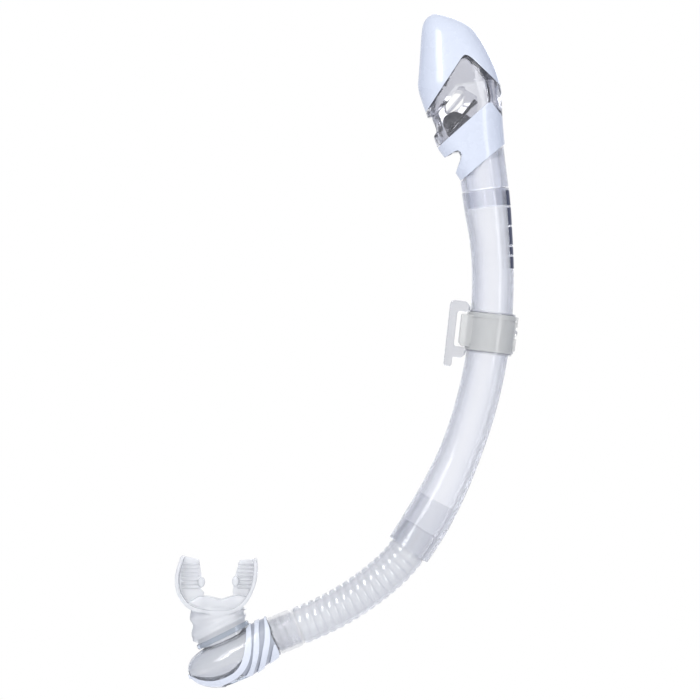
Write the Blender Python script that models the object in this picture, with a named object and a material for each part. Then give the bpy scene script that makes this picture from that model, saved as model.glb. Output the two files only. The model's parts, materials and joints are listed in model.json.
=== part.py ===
"""Dry-top snorkel: curved barrel, float valve, mask keeper, bending hose, purge chamber, mouthpiece."""

import math

import bmesh
import bpy
from mathutils import Matrix, Vector

# All dimensions are in millimetres and degrees; meshes are written in metres.
MM = 0.001
GAP = 0.3
FINE = 32
COARSE = 24

# Centre line of the air tube, in the XZ plane. A lean is measured from +Z towards -X.
KEEPER_LEAN = -6.4
PAD_REACH = 19.5
BARREL_BEND = 300.0
TOP_LEAN = 7.0
TOP_STRAIGHT = 21.6
BARREL_END_LEAN = -35.0
HOSE_BEND_1 = 82.0
HOSE_LEAN_1 = -48.0
HOSE_BEND_2 = 180.0
HOSE_LEAN_2 = -67.5
HOSE_STRAIGHT = 23.8

BARREL_WALL = 2.0
# Distance down from the top end, outer radius
BARREL_PROFILE = (
    (0.0, 15.1), (16.0, 14.65), (32.0, 13.75), (45.0, 13.42), (58.0, 13.42), (75.0, 13.42),
    (92.0, 13.42), (110.0, 13.42), (130.0, 13.42), (150.0, 13.42), (172.0, 13.42), (187.0, 14.1),
    (205.0, 14.5), (220.0, 14.95), (232.0, 14.75), (241.5, 14.75),
)

RIDGES = 16
RIDGE_PITCH = 5.35
RIDGE_R = 12.3
GROOVE_R = 11.1
HOSE_BORE_R = 9.8
HOSE_PLUG = 16.0
HOSE_PLUG_R = 12.4
CONNECTOR_TOP = 36.0
CONNECTOR_R = (12.15, 11.0)
CUFF_R = (12.6, 10.8)

# Dry top sections: height, left edge, right edge, half depth
HELMET = (
    (6.0, -14.0, 15.6, 15.0), (13.0, -17.5, 15.7, 15.6), (23.5, -23.3, 15.8, 16.6),
    (30.4, -27.2, 16.0, 17.3), (39.0, -28.9, 16.3, 18.2), (50.0, -30.9, 17.0, 19.2),
    (60.0, -33.2, 17.9, 19.8), (70.0, -34.7, 17.0, 19.8), (80.0, -33.0, 14.7, 18.6),
    (90.0, -31.1, 11.1, 16.6), (98.0, -29.6, 7.6, 14.4), (105.0, -28.1, 3.2, 11.6),
    (110.0, -26.6, -3.4, 8.6), (114.0, -22.9, -12.0, 4.2), (115.7, -19.5, -16.5, 1.2),
)
CAP_WALL = 2.3
CAP_V = ((-50.0, 32.2), (-4.7, 85.7), (-2.4, 86.8), (-0.2, 85.8), (40.0, 38.4), (40.0, 0.0), (-50.0, 0.0))
SKIRT_WALL = 2.2
SKIRT_OUTLINE = (
    (-34.0, 25.6), (9.7, 55.6), (20.0, 39.5), (20.0, 30.4), (-22.0, 3.1),
    (-20.0, 8.1), (-12.3, 23.4), (-15.1, 27.0), (-34.0, 19.0),
)
HOUSING_INSET = 2.6
HOUSING_WALL = 1.8
HOUSING_SPAN = (26.0, 92.0)
HOUSING_BELT = (
    (-36.0, 24.7), (9.7, 56.1), (20.0, 40.3), (20.0, 61.4), (-0.2, 85.2), (-2.4, 86.2), (-4.7, 85.1),
    (-32.0, 52.9), (-31.0, 50.2), (-27.0, 50.5), (-26.5, 38.8), (-30.0, 36.0), (-36.0, 31.0),
)
PLENUM = ((-36.0, 41.6), (-10.6, 68.8), (16.0, 68.8), (16.0, 96.0), (-36.0, 96.0))
CHAMBER = (
    (-36.0, 38.4), (-9.0, 67.3), (-5.5, 67.0), (-5.5, 65.0), (1.0, 59.5), (1.0, 55.5),
    (-1.0, 43.5), (-11.5, 32.0), (-36.0, 32.0),
)
CHAMBER_HALF = 10.5
INTAKE_HALF = 5.0
INTAKE = ((-40.0, 37.5), (-20.0, 37.5), (-20.0, 46.0), (-40.0, 46.0))
WINDOW = ((-18.8, 57.4), (-11.2, 64.6), (-8.6, 64.2), (-6.6, 62.0), (-6.4, 59.6), (-11.4, 53.0),
    (-18.6, 51.0))
# Height, centre, half width, half depth of the air duct beside the float
DUCT = ((20.0, 0.0, 11.0, 11.0), (32.0, 0.9, 10.8, 10.9), (44.0, 6.6, 5.9, 9.4), (56.0, 9.5, 3.9, 8.5),
    (70.0, 9.3, 4.2, 8.0))

SOCKET_BORE_R = 11.0
SOCKET_CORE_R = 13.0
SOCKET_SLEEVE_R = 15.0
SPIGOT_R = 12.5
SPIGOT_DEPTH = 11.0
SLEEVE_TRIM = ((-24.0, 1.3), (22.0, 31.2), (22.0, 60.0), (-40.0, 60.0), (-40.0, 1.3))

FLOAT_ORIGIN = (1.6, 60.2)
FLOAT_LEAN = 47.0
PLATE_X = (-27.0, -3.0)
PLATE_HALF = 9.8
PLATE_TIP = (5.0, 5.0)
PLATE_T = 1.4
DOME_X = -19.2
DOME_R = 5.8
DOME_H = 7.0
FLOAT_X = (-27.0, -13.5)
FLOAT_Z = (-9.0, -1.0)
SEAT_Z = (12.6, 14.6)
SEAT_R = (6.8, 5.0)

LINER_R = (14.45, 14.0)
LINER_FLANGE_R = 15.2
LINER_HALF = 13.7
HOOK_RING_R = (15.2, 14.55)
HOOK_RING_HALF = 12.9
HOOK_HALF = 6.0
HOOK_OUTLINE = (
    (-12.5, 12.0), (-16.9, 18.4), (-26.0, 18.4), (-27.3, 17.0), (-27.3, -23.0), (-26.0, -24.5),
    (-23.6, -24.5), (-22.3, -23.0), (-22.3, -18.0), (-17.0, -18.0), (-12.5, -12.0),
    (-12.5, -10.8), (-22.3, -10.8), (-22.3, 11.4), (-12.5, 11.4),
)
BAND_R = (16.2, 15.4)
BAND_HALF = 12.2
PAD_HALF = 11.0
PAD_OUTLINE = ((-19.5, 10.3), (-19.5, -8.0), (-17.5, -10.4), (-6.0, -10.4), (-6.0, 10.3))
LATCH_BLOCKS = ((5.1, 11.9), (-10.2, -2.2))
LATCH_REACH = 17.0
LATCH_HALF = 4.5
STUD_R = 1.9
STUD_HEIGHT = 1.45
STUD_SPAN = (15.5, 17.4)

# Purge chamber sections: distance along the hose axis, low edge, high edge, half depth
CHAMBER_SECTIONS = (
    (-59.2, -4.6, 0.6, 2.5), (-57.5, -7.6, 3.8, 6.5), (-54.0, -11.6, 6.8, 10.5), (-49.0, -15.1, 9.0, 13.2),
    (-40.6, -18.2, 10.6, 15.8), (-30.0, -18.6, 11.6, 16.8), (-20.0, -17.2, 11.4, 16.4),
    (-10.5, -14.9, 12.9, 14.8), (0.0, -12.2, 13.2, 12.9),
)
CHAMBER_WALL = 2.0
SPIGOT_LENGTH = 15.0
PURGE_SPIGOT_R = (10.4, 8.8)
PORT_CENTRE = (-29.6, 10.8)
PORT_TILT = 4.0
PORT_R = (14.7, 9.2)
PORT_WALL = 1.7
PORT_RISE = 7.0
VALVE_POS = -31.0
VALVE_BORE_R = 10.2
VALVE_COLLAR = 1.3
VALVE_TOP = -12.0
STRIPE_T = 0.8
STRIPE_OUTLINES = {
    "stripe_outer": (
        (-13.6, 22.0), (-14.0, 13.6), (-15.8, 7.5), (-20.5, -1.0), (-25.3, -7.0), (-31.5, -10.8),
        (-38.9, -11.8), (-46.5, -10.8), (-53.2, -7.6), (-59.6, -2.1), (-66.0, 2.0), (-66.0, -4.0),
        (-59.6, -4.6), (-56.2, -9.2), (-49.9, -13.5), (-42.8, -15.9), (-35.9, -15.9), (-28.1, -13.9),
        (-21.8, -9.6), (-16.5, -2.6), (-12.7, 6.2), (-10.6, 13.6), (-9.6, 22.0),
    ),
    "stripe_middle": (
        (-8.0, 22.0), (-11.8, 4.2), (-14.8, -0.6), (-20.7, -8.7), (-32.0, -24.0),
        (-26.5, -24.0), (-16.8, -11.2), (-10.5, -2.2), (-7.8, 3.2), (-3.6, 22.0),
    ),
    "stripe_inner": (
        (-1.8, 22.0), (-5.6, 2.4), (-8.4, -2.9), (-13.2, -10.3), (-23.5, -24.0),
        (-18.8, -24.0), (-10.3, -12.4), (-4.7, -4.3), (-2.2, 0.8), (1.6, 22.0),
    ),
    "stripe_tip": ((-2.2, -4.9), (-5.0, -9.0), (-15.0, -24.0), (-9.0, -24.0), (-0.8, -10.8), (-0.8, -4.9)),
}

BITE_ORIGIN = (-154.0, -172.0)
LIP_LINE = (
    (-23.0, 27.0), (-26.4, 16.0), (-26.6, 9.6), (-24.6, 2.0), (-18.6, -5.0), (-9.0, -8.0), (0.0, -8.6),
    (9.0, -7.6), (15.2, -3.6), (19.6, 2.5), (22.8, 11.5), (23.6, 19.0), (23.0, 25.3),
)
LIP_T = 2.4
LIP_HALF = 11.5
WING_OUTLINE = (
    (-23.0, 27.2), (-12.8, 25.0), (-11.2, 14.7), (-11.6, 5.6), (-7.0, 1.9), (1.3, -0.6), (7.6, 1.5),
    (9.0, 6.0),
    (10.2, 14.0), (13.2, 24.4), (23.0, 25.2), (23.4, 19.0), (22.6, 11.5), (19.4, 2.5), (15.0, -3.4),
    (9.0, -7.2), (0.0, -8.2), (-9.0, -7.6), (-18.0, -4.6), (-23.8, 2.0), (-26.0, 9.6), (-26.0, 16.0),
)
WING_HALF = 1.8
LUGS = ((-11.6, 10.4, 2.0), (11.0, 11.0, 2.0))
BRIDGE_OUTLINE = (
    (-15.0, 6.0), (-11.4, 4.6), (-7.0, 1.9), (1.3, -0.6), (7.6, 1.5), (12.5, 5.0), (16.6, -1.6),
    (9.0, -7.0), (0.0, -8.0), (-9.0, -7.4), (-17.4, -4.0),
)
BRIDGE_HALF = 8.5
LUG_HALF = 6.0


def lean_frame(x, z, lean):
    """Frame in the XZ plane: local Z leans this far from +Z towards -X."""
    return Matrix.Translation((x, 0.0, z)) @ Matrix.Rotation(-math.radians(lean), 4, "Y")


def right_of(lean):
    """Unit vector across a leaning tube, in the XZ plane."""
    return Vector((math.cos(math.radians(lean)), 0.0, math.sin(math.radians(lean))))


def up_of(lean):
    """Unit vector up along a leaning tube."""
    return Vector((-math.sin(math.radians(lean)), 0.0, math.cos(math.radians(lean))))


def keeper_point():
    """Barrel centre beside the strap pad, whose outer face holds the origin."""
    return right_of(KEEPER_LEAN) * PAD_REACH


def barrel_bend_centre():
    """Centre of the barrel's bend."""
    return keeper_point() - right_of(KEEPER_LEAN) * BARREL_BEND


def arc_length(radius, lean_from, lean_to):
    """Length of a bend between two leans."""
    return radius * math.radians(lean_from - lean_to)


BARREL_LENGTH = TOP_STRAIGHT + arc_length(BARREL_BEND, TOP_LEAN, BARREL_END_LEAN)
HOSE_LENGTH = (
    arc_length(HOSE_BEND_1, BARREL_END_LEAN, HOSE_LEAN_1)
    + arc_length(HOSE_BEND_2, HOSE_LEAN_1, HOSE_LEAN_2)
    + HOSE_STRAIGHT
)
TUBE_RUNS = (
    (TOP_STRAIGHT, None),
    (arc_length(BARREL_BEND, TOP_LEAN, BARREL_END_LEAN), BARREL_BEND),
    (arc_length(HOSE_BEND_1, BARREL_END_LEAN, HOSE_LEAN_1), HOSE_BEND_1),
    (arc_length(HOSE_BEND_2, HOSE_LEAN_1, HOSE_LEAN_2), HOSE_BEND_2),
    (HOSE_STRAIGHT, None),
)


def tube_frame(distance):
    """Frame on the tube's centre line, this far down from the barrel's top end."""
    lean = TOP_LEAN
    point = barrel_bend_centre() + right_of(lean) * BARREL_BEND + up_of(lean) * TOP_STRAIGHT
    for length, radius in TUBE_RUNS:
        run = min(distance, length)
        if radius is None:
            point = point - up_of(lean) * run
        else:
            centre = point - right_of(lean) * radius
            lean -= math.degrees(run / radius)
            point = centre + right_of(lean) * radius
        distance -= run
        if distance <= 0.0:
            break
    return lean_frame(point.x, point.z, lean)


TOP = tube_frame(0.0)
KEEPER = lean_frame(keeper_point().x, keeper_point().z, KEEPER_LEAN)
HOSE_END = tube_frame(BARREL_LENGTH + HOSE_LENGTH)
# Local X runs up the hose and local Z out of the mouthpiece port
PURGE = HOSE_END @ Matrix.Rotation(math.radians(-90.0), 4, "Y")
PORT = PURGE @ lean_frame(PORT_CENTRE[0], PORT_CENTRE[1], PORT_TILT)
BITE = lean_frame(BITE_ORIGIN[0], BITE_ORIGIN[1], 0.0)
FLOAT = TOP @ lean_frame(FLOAT_ORIGIN[0], FLOAT_ORIGIN[1], FLOAT_LEAN)
SEAT = FLOAT @ Matrix.Translation((DOME_X, 0.0, 0.0))


def clear_scene():
    """Remove every object and collection content that was there."""
    for obj in list(bpy.data.objects):
        bpy.data.objects.remove(obj)


def new_collection(name):
    """Add a collection under the scene."""
    collection = bpy.data.collections.new(name)
    bpy.context.scene.collection.children.link(collection)
    return collection


clear_scene()
PARTS = new_collection("snorkel_tube")
CUTTERS = new_collection("cutters")


def ring(frame, height, radius_x, radius_y, centre_x=0.0, count=FINE):
    """Oval ring of points across a frame's Z axis."""
    points = []
    for index in range(count):
        turn = math.tau * index / count
        local = Vector((centre_x + radius_x * math.cos(turn), radius_y * math.sin(turn), height))
        points.append(frame @ local)
    return points


def loft_mesh(name, rings, looped=False):
    """Skin a row of equal rings: capped at both ends, or looped back to the first ring."""
    bm = bmesh.new()
    rows = [[bm.verts.new(point * MM) for point in points] for points in rings]
    pairs = list(zip(rows[:-1], rows[1:]))
    if looped:
        pairs.append((rows[-1], rows[0]))
    for low, high in pairs:
        count = len(low)
        for index in range(count):
            after = (index + 1) % count
            bm.faces.new((low[index], low[after], high[after], high[index]))
    if not looped:
        bm.faces.new(list(reversed(rows[0])))
        bm.faces.new(rows[-1])
    bmesh.ops.recalc_face_normals(bm, faces=bm.faces)
    mesh = bpy.data.meshes.new(name)
    bm.to_mesh(mesh)
    bm.free()
    return mesh


def prism_mesh(name, frame, outline, half_depth, middle=0.0):
    """Plate with this outline in the frame's XZ plane, thick along Y."""
    curve = bpy.data.curves.new(name, "CURVE")
    curve.dimensions = "2D"
    curve.fill_mode = "BOTH"
    curve.extrude = half_depth * MM
    spline = curve.splines.new("POLY")
    spline.points.add(len(outline) - 1)
    for point, (x, z) in zip(spline.points, outline):
        point.co = (x * MM, z * MM, 0.0, 1.0)
    spline.use_cyclic_u = True
    holder = bpy.data.objects.new(name, curve)
    PARTS.objects.link(holder)
    bpy.context.view_layer.update()
    mesh = bpy.data.meshes.new_from_object(holder.evaluated_get(bpy.context.evaluated_depsgraph_get()))
    bpy.data.objects.remove(holder)
    bpy.data.curves.remove(curve)
    turn = Matrix.Translation((0.0, middle, 0.0)) @ Matrix.Rotation(math.radians(90.0), 4, "X")
    scaled = frame @ turn
    scaled.translation = scaled.translation * MM
    mesh.transform(scaled)
    bm = bmesh.new()
    bm.from_mesh(mesh)
    bmesh.ops.remove_doubles(bm, verts=bm.verts, dist=0.01 * MM)
    bmesh.ops.recalc_face_normals(bm, faces=bm.faces)
    bm.to_mesh(mesh)
    bm.free()
    return mesh


def add_part(mesh, material, origin=None, smooth=True):
    """Put a finished mesh in the parts collection, with its origin on its joint's axis."""
    obj = bpy.data.objects.new(mesh.name, mesh)
    PARTS.objects.link(obj)
    mesh.materials.clear()
    mesh.materials.append(material)
    mesh.polygons.foreach_set("use_smooth", [smooth] * len(mesh.polygons))
    if origin is not None:
        mesh.transform(Matrix.Translation(-origin * MM))
        obj.location = origin * MM
    return obj


def add_cutter(mesh):
    """Keep a cutting shape out of sight."""
    obj = bpy.data.objects.new(mesh.name, mesh)
    CUTTERS.objects.link(obj)
    obj.hide_render = True
    obj.display_type = "WIRE"
    return obj


def combine(obj, other, operation):
    """Add a Boolean with another shape."""
    modifier = obj.modifiers.new(operation.title() + " " + other.name, "BOOLEAN")
    modifier.operation = operation
    modifier.solver = "EXACT"
    modifier.object = other


def tube_mesh(name, frame, outer, inner, low, high, count=FINE):
    """Straight round tube along a frame's Z axis."""
    rings = [
        ring(frame, low, outer, outer, count=count),
        ring(frame, high, outer, outer, count=count),
        ring(frame, high, inner, inner, count=count),
        ring(frame, low, inner, inner, count=count),
    ]
    return loft_mesh(name, rings, looped=True)


def rod_mesh(name, frame, radius, low, high, count=COARSE):
    """Round rod along a frame's Z axis."""
    return loft_mesh(name, [ring(frame, low, radius, radius, count=count),
        ring(frame, high, radius, radius, count=count)])


def finish(name, colour, roughness, transmission=0.0, alpha=1.0):
    """Principled material for one part."""
    material = bpy.data.materials.new(name)
    material.use_nodes = True
    shader = material.node_tree.nodes["Principled BSDF"]
    shader.inputs["Base Color"].default_value = (*colour, 1.0)
    shader.inputs["Roughness"].default_value = roughness
    shader.inputs["Transmission Weight"].default_value = transmission
    shader.inputs["Alpha"].default_value = alpha
    return material


def clear_plastic(name):
    """Hard clear plastic."""
    return finish(name, (0.86, 0.88, 0.93), 0.08, 0.8)


def clear_silicone(name):
    """Soft clear silicone."""
    return finish(name, (0.84, 0.85, 0.86), 0.3, 0.6)


def white_plastic(name):
    """Glossy white plastic."""
    return finish(name, (0.85, 0.88, 0.95), 0.18)


def smoke_plastic(name):
    """Smoke grey clear plastic."""
    return finish(name, (0.5, 0.5, 0.53), 0.12, 0.5)


def black_rubber(name):
    """Black valve rubber."""
    return finish(name, (0.02, 0.02, 0.025), 0.5)


def build_barrel():
    """Curved clear tube, flared at both ends."""
    outer = [ring(tube_frame(s), 0.0, radius, radius) for s, radius in BARREL_PROFILE]
    bore = [ring(tube_frame(s), 0.0, radius - BARREL_WALL, radius - BARREL_WALL) for s,
        radius in BARREL_PROFILE]
    mesh = loft_mesh("barrel", outer + bore[::-1], looped=True)
    return add_part(mesh, clear_plastic("barrel"))


def helmet_rings(inset, low, high):
    """Rings of the dry top's outer form between two heights, drawn in by an inset."""
    rings = []
    for height, left, right, depth in HELMET:
        if low <= height <= high:
            half = (right - left) / 2.0 - inset
            rings.append(ring(TOP, height, half, depth - inset, centre_x=(left + right) / 2.0))
    return rings


def helmet_at(height):
    """Interpolated left, right and half depth of the dry top at a height."""
    for below, above in zip(HELMET[:-1], HELMET[1:]):
        if below[0] <= height <= above[0]:
            share = (height - below[0]) / (above[0] - below[0])
            return [low + (high - low) * share for low, high in zip(below[1:], above[1:])]
    return list(HELMET[0][1:])


def helmet_ring(height, inset):
    """Ring of the dry top's form at any height."""
    left, right, depth = helmet_at(height)
    return ring(TOP, height, (right - left) / 2.0 - inset, depth - inset, centre_x=(left + right) / 2.0)


def build_top_cap():
    """White pointed cap with a vee-shaped lower edge, hollow and open below."""
    rings = [helmet_ring(44.0, 0.0)] + helmet_rings(0.0, 50.0, 120.0)
    cap = add_part(loft_mesh("top_cap", rings), white_plastic("top_cap"))
    hollow = [helmet_ring(40.0, CAP_WALL)] + helmet_rings(CAP_WALL, 50.0, 110.0)
    tip = ring(TOP, 112.6, 3.0, 1.4, centre_x=-18.0)
    combine(cap, add_cutter(loft_mesh("cap_hollow", hollow + [tip])), "DIFFERENCE")
    combine(cap, add_cutter(prism_mesh("cap_vee", TOP, CAP_V, 40.0)), "DIFFERENCE")
    return cap


def build_splash_skirt():
    """White collar that wraps the housing's foot, with a water notch on its left."""
    rings = helmet_rings(0.0, 6.0, 60.0)
    skirt = add_part(loft_mesh("splash_skirt", rings), white_plastic("splash_skirt"))
    hollow = [helmet_ring(0.0, SKIRT_WALL)] + helmet_rings(SKIRT_WALL, 13.0,
        60.0) + [helmet_ring(66.0, SKIRT_WALL)]
    hollow[0] = ring(TOP, 0.0, 13.0, 12.8, centre_x=0.8)
    combine(skirt, add_cutter(loft_mesh("skirt_hollow", hollow)), "DIFFERENCE")
    combine(skirt, add_cutter(prism_mesh("skirt_outline", TOP, SKIRT_OUTLINE, 40.0)), "INTERSECT")
    return skirt


def build_valve_housing():
    """Smoke housing: air duct on the right, float chamber on the left, open plenum above."""
    low, high = HOUSING_SPAN
    rings = [helmet_ring(low, HOUSING_INSET)] + helmet_rings(HOUSING_INSET, 30.0, 90.0)
    rings.append(helmet_ring(high, HOUSING_INSET))
    housing = add_part(loft_mesh("valve_housing", rings), smoke_plastic("valve_housing"))
    inset = HOUSING_INSET + HOUSING_WALL
    belt = add_cutter(loft_mesh("housing_belt", helmet_rings(0.0, 23.5, 90.0)))
    combine(belt, add_cutter(prism_mesh("belt_outline", TOP, HOUSING_BELT, 40.0)), "INTERSECT")
    combine(housing, belt, "UNION")
    for name, outline, half in (("plenum", PLENUM, 40.0), ("float_chamber", CHAMBER, CHAMBER_HALF)):
        form = add_cutter(loft_mesh(name + "_form", helmet_rings(inset, 23.5, 98.0)))
        combine(form, add_cutter(prism_mesh(name + "_outline", TOP, outline, half)), "INTERSECT")
        combine(housing, form, "DIFFERENCE")
    duct = [ring(TOP, z, half, depth, centre_x=x, count=COARSE) for z, x, half, depth in DUCT]
    combine(housing, add_cutter(loft_mesh("duct", duct)), "DIFFERENCE")
    combine(housing, add_cutter(prism_mesh("intake", TOP, INTAKE, INTAKE_HALF)), "DIFFERENCE")
    combine(housing, add_cutter(prism_mesh("window", TOP, WINDOW, 40.0)), "DIFFERENCE")
    hole = rod_mesh("seat_hole", SEAT, SEAT_R[0] + GAP, SEAT_Z[0] - 3.0, SEAT_Z[1] + 3.0)
    combine(housing, add_cutter(hole), "DIFFERENCE")
    return housing


def build_top_socket():
    """Clear coupling between the dry top and the barrel's mouth."""
    core = [
        ring(TOP, -SPIGOT_DEPTH, SPIGOT_R, SPIGOT_R),
        ring(TOP, GAP, SPIGOT_R, SPIGOT_R),
        ring(TOP, GAP, SOCKET_CORE_R, SOCKET_CORE_R),
        ring(TOP, HOUSING_SPAN[0] - GAP, SOCKET_CORE_R, SOCKET_CORE_R),
        ring(TOP, HOUSING_SPAN[0] - GAP, SOCKET_BORE_R, SOCKET_BORE_R),
        ring(TOP, -SPIGOT_DEPTH, SOCKET_BORE_R, SOCKET_BORE_R),
    ]
    socket = add_part(loft_mesh("top_socket", core, looped=True), clear_plastic("top_socket"))
    sleeve = add_cutter(tube_mesh("socket_sleeve", TOP, SOCKET_SLEEVE_R, SPIGOT_R - 0.5, GAP, 34.0))
    combine(sleeve, add_cutter(prism_mesh("sleeve_trim", TOP, SLEEVE_TRIM, 40.0)), "DIFFERENCE")
    combine(socket, sleeve, "UNION")
    return socket


def build_valve_seat():
    """Ring in the float chamber's roof that the dome closes."""
    mesh = tube_mesh("valve_seat", SEAT, SEAT_R[0], SEAT_R[1], SEAT_Z[0], SEAT_Z[1], COARSE)
    return add_part(mesh, smoke_plastic("valve_seat"))


def float_taper(obj, name):
    """Narrow a float piece towards its low tip, to clear the rounded housing."""
    tip_half, tip_length = PLATE_TIP
    low = PLATE_X[0]
    for side in (-1.0, 1.0):
        corner = ((low - 1.0, tip_half - 1.0), (low + tip_length, PLATE_HALF), (low + tip_length, 20.0),
            (low - 1.0, 20.0))
        flat = FLOAT @ Matrix.Rotation(math.radians(90.0 * side), 4, "X")
        combine(obj, add_cutter(prism_mesh("%s_taper_%d" % (name, side), flat, corner, 14.0)), "DIFFERENCE")


def build_float_arm():
    """Sliding plate that carries the dome above and the float below."""
    low, high = PLATE_X
    half = PLATE_T / 2.0
    outline = ((low, -half), (high, -half), (high, half), (low, half))
    mesh = prism_mesh("float_arm", FLOAT, outline, PLATE_HALF)
    arm = add_part(mesh, white_plastic("float_arm"), origin=SEAT.translation.copy(), smooth=False)
    float_taper(arm, "arm")
    return arm


def build_valve_dome():
    """Black rubber dome on top of the plate."""
    base = PLATE_T / 2.0 + 0.1
    rings = []
    for share in (0.0, 0.3, 0.55, 0.75, 0.9, 0.98):
        radius = DOME_R * math.sqrt(1.0 - share * share)
        rings.append(ring(SEAT, base + (DOME_H - base) * share, radius, radius, count=COARSE))
    return add_part(loft_mesh("valve_dome", rings), black_rubber("valve_dome"),
        origin=SEAT.translation.copy())


def build_float_block():
    """Buoyant block under the plate."""
    x0, x1 = FLOAT_X
    z0, z1 = FLOAT_Z
    edge = 1.5
    outline = ((x0 + edge, z0), (x1 - edge, z0), (x1, z0 + edge), (x1, z1), (x0, z1), (x0, z0 + edge))
    mesh = prism_mesh("float_block", FLOAT, outline, PLATE_HALF)
    block = add_part(mesh, white_plastic("float_block"), origin=SEAT.translation.copy(), smooth=False)
    float_taper(block, "block")
    return block


def build_keeper_liner():
    """Split bush between the barrel and the keeper."""
    outer, inner = LINER_R
    lip = 0.6
    rings = [
        ring(KEEPER, -LINER_HALF, LINER_FLANGE_R, LINER_FLANGE_R),
        ring(KEEPER, -LINER_HALF + lip, LINER_FLANGE_R, LINER_FLANGE_R),
        ring(KEEPER, -LINER_HALF + lip, outer, outer),
        ring(KEEPER, LINER_HALF - lip, outer, outer),
        ring(KEEPER, LINER_HALF - lip, LINER_FLANGE_R, LINER_FLANGE_R),
        ring(KEEPER, LINER_HALF, LINER_FLANGE_R, LINER_FLANGE_R),
        ring(KEEPER, LINER_HALF, inner, inner),
        ring(KEEPER, -LINER_HALF, inner, inner),
    ]
    mesh = loft_mesh("keeper_liner", rings, looped=True)
    liner = add_part(mesh, clear_plastic("keeper_liner"), origin=barrel_bend_centre())
    split = ((-1.0, -20.0), (1.0, -20.0), (1.0, 20.0), (-1.0, 20.0))
    combine(liner, add_cutter(prism_mesh("liner_split", KEEPER, split, 5.0, middle=15.0)), "DIFFERENCE")
    return liner


def build_keeper_hook():
    """Clear ring with a hook that the mask strap slips behind."""
    mesh = prism_mesh("keeper_hook", KEEPER, HOOK_OUTLINE, HOOK_HALF)
    hook = add_part(mesh, clear_plastic("keeper_hook"), origin=KEEPER.translation.copy(), smooth=False)
    outer, inner = HOOK_RING_R
    hook_ring = rod_mesh("hook_ring", KEEPER, outer, -HOOK_RING_HALF, HOOK_RING_HALF, FINE)
    combine(hook, add_cutter(hook_ring), "UNION")
    combine(hook, add_cutter(rod_mesh("hook_core", KEEPER, inner, -30.0, 30.0, FINE)), "DIFFERENCE")
    clear_r = LINER_FLANGE_R + GAP
    start = HOOK_RING_HALF + 0.1
    for index, (low, high) in enumerate(((start, 30.0), (-30.0, -start))):
        combine(hook, add_cutter(rod_mesh("flange_room_%d" % index, KEEPER, clear_r, low, high, FINE)),
            "DIFFERENCE")
    return hook


def build_keeper_band():
    """Soft band round the hook's ring, with the strap pad and two latch blocks."""
    outer, inner = BAND_R
    mesh = prism_mesh("keeper_band", KEEPER, PAD_OUTLINE, PAD_HALF)
    band = add_part(mesh, clear_silicone("keeper_band"), origin=KEEPER.translation.copy(), smooth=False)
    combine(band, add_cutter(rod_mesh("band_ring", KEEPER, outer, -BAND_HALF, BAND_HALF, FINE)), "UNION")
    for index, (low, high) in enumerate(LATCH_BLOCKS):
        block = ((8.0, low), (LATCH_REACH, low), (LATCH_REACH, high), (8.0, high))
        combine(band, add_cutter(prism_mesh("latch_block_%d" % index, KEEPER, block, LATCH_HALF)), "UNION")
    combine(band, add_cutter(rod_mesh("band_core", KEEPER, inner, -30.0, 30.0, FINE)), "DIFFERENCE")
    room = (
        ((-30.0, 11.0), (-12.0, 11.0), (-12.0, 20.0), (-30.0, 20.0)),
        ((-30.0, -10.4), (-12.0, -10.4), (-12.0, -20.0), (-30.0, -20.0)),
    )
    for index, outline in enumerate(room):
        combine(band, add_cutter(prism_mesh("arm_room_%d" % index, KEEPER, outline, HOOK_HALF + GAP)),
            "DIFFERENCE")
    stud = KEEPER @ Matrix.Translation((0.0, 0.0, STUD_HEIGHT)) @ Matrix.Rotation(math.radians(90.0), 4,
        "Y")
    combine(band, add_cutter(rod_mesh("stud_hole", stud, STUD_R + GAP, 10.0, 20.0, 20)), "DIFFERENCE")
    return band


def build_latch_stud():
    """Stud that pins the band's ends together."""
    stud = KEEPER @ Matrix.Translation((0.0, 0.0, STUD_HEIGHT)) @ Matrix.Rotation(math.radians(90.0), 4,
        "Y")
    mesh = rod_mesh("latch_stud", stud, STUD_R, STUD_SPAN[0], STUD_SPAN[1], 20)
    return add_part(mesh, clear_plastic("latch_stud"), origin=KEEPER.translation.copy())


def build_hose_connector():
    """Thin sleeve inside the barrel above the hose's plug."""
    top = BARREL_LENGTH - CONNECTOR_TOP
    bottom = BARREL_LENGTH - HOSE_PLUG - GAP
    stations = [top + (bottom - top) * share for share in (0.0, 0.5, 1.0)]
    outer = [ring(tube_frame(s), 0.0, CONNECTOR_R[0], CONNECTOR_R[0]) for s in stations]
    bore = [ring(tube_frame(s), 0.0, CONNECTOR_R[1], CONNECTOR_R[1]) for s in stations]
    return add_part(loft_mesh("hose_connector", outer + bore[::-1], looped=True),
        clear_plastic("hose_connector"))


def hose_profile():
    """Distance and outer radius pairs down the hose: plug, then ridges."""
    start = BARREL_LENGTH - HOSE_PLUG
    pairs = [(start, HOSE_PLUG_R), (BARREL_LENGTH + GAP, HOSE_PLUG_R), (BARREL_LENGTH + GAP, RIDGE_R)]
    for index in range(RIDGES):
        crest = BARREL_LENGTH + GAP + RIDGE_PITCH * index + RIDGE_PITCH * 0.35
        pairs.append((crest, RIDGE_R))
        pairs.append((crest + RIDGE_PITCH * 0.3, GROOVE_R))
        pairs.append((crest + RIDGE_PITCH * 0.5, GROOVE_R))
    return pairs


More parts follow.
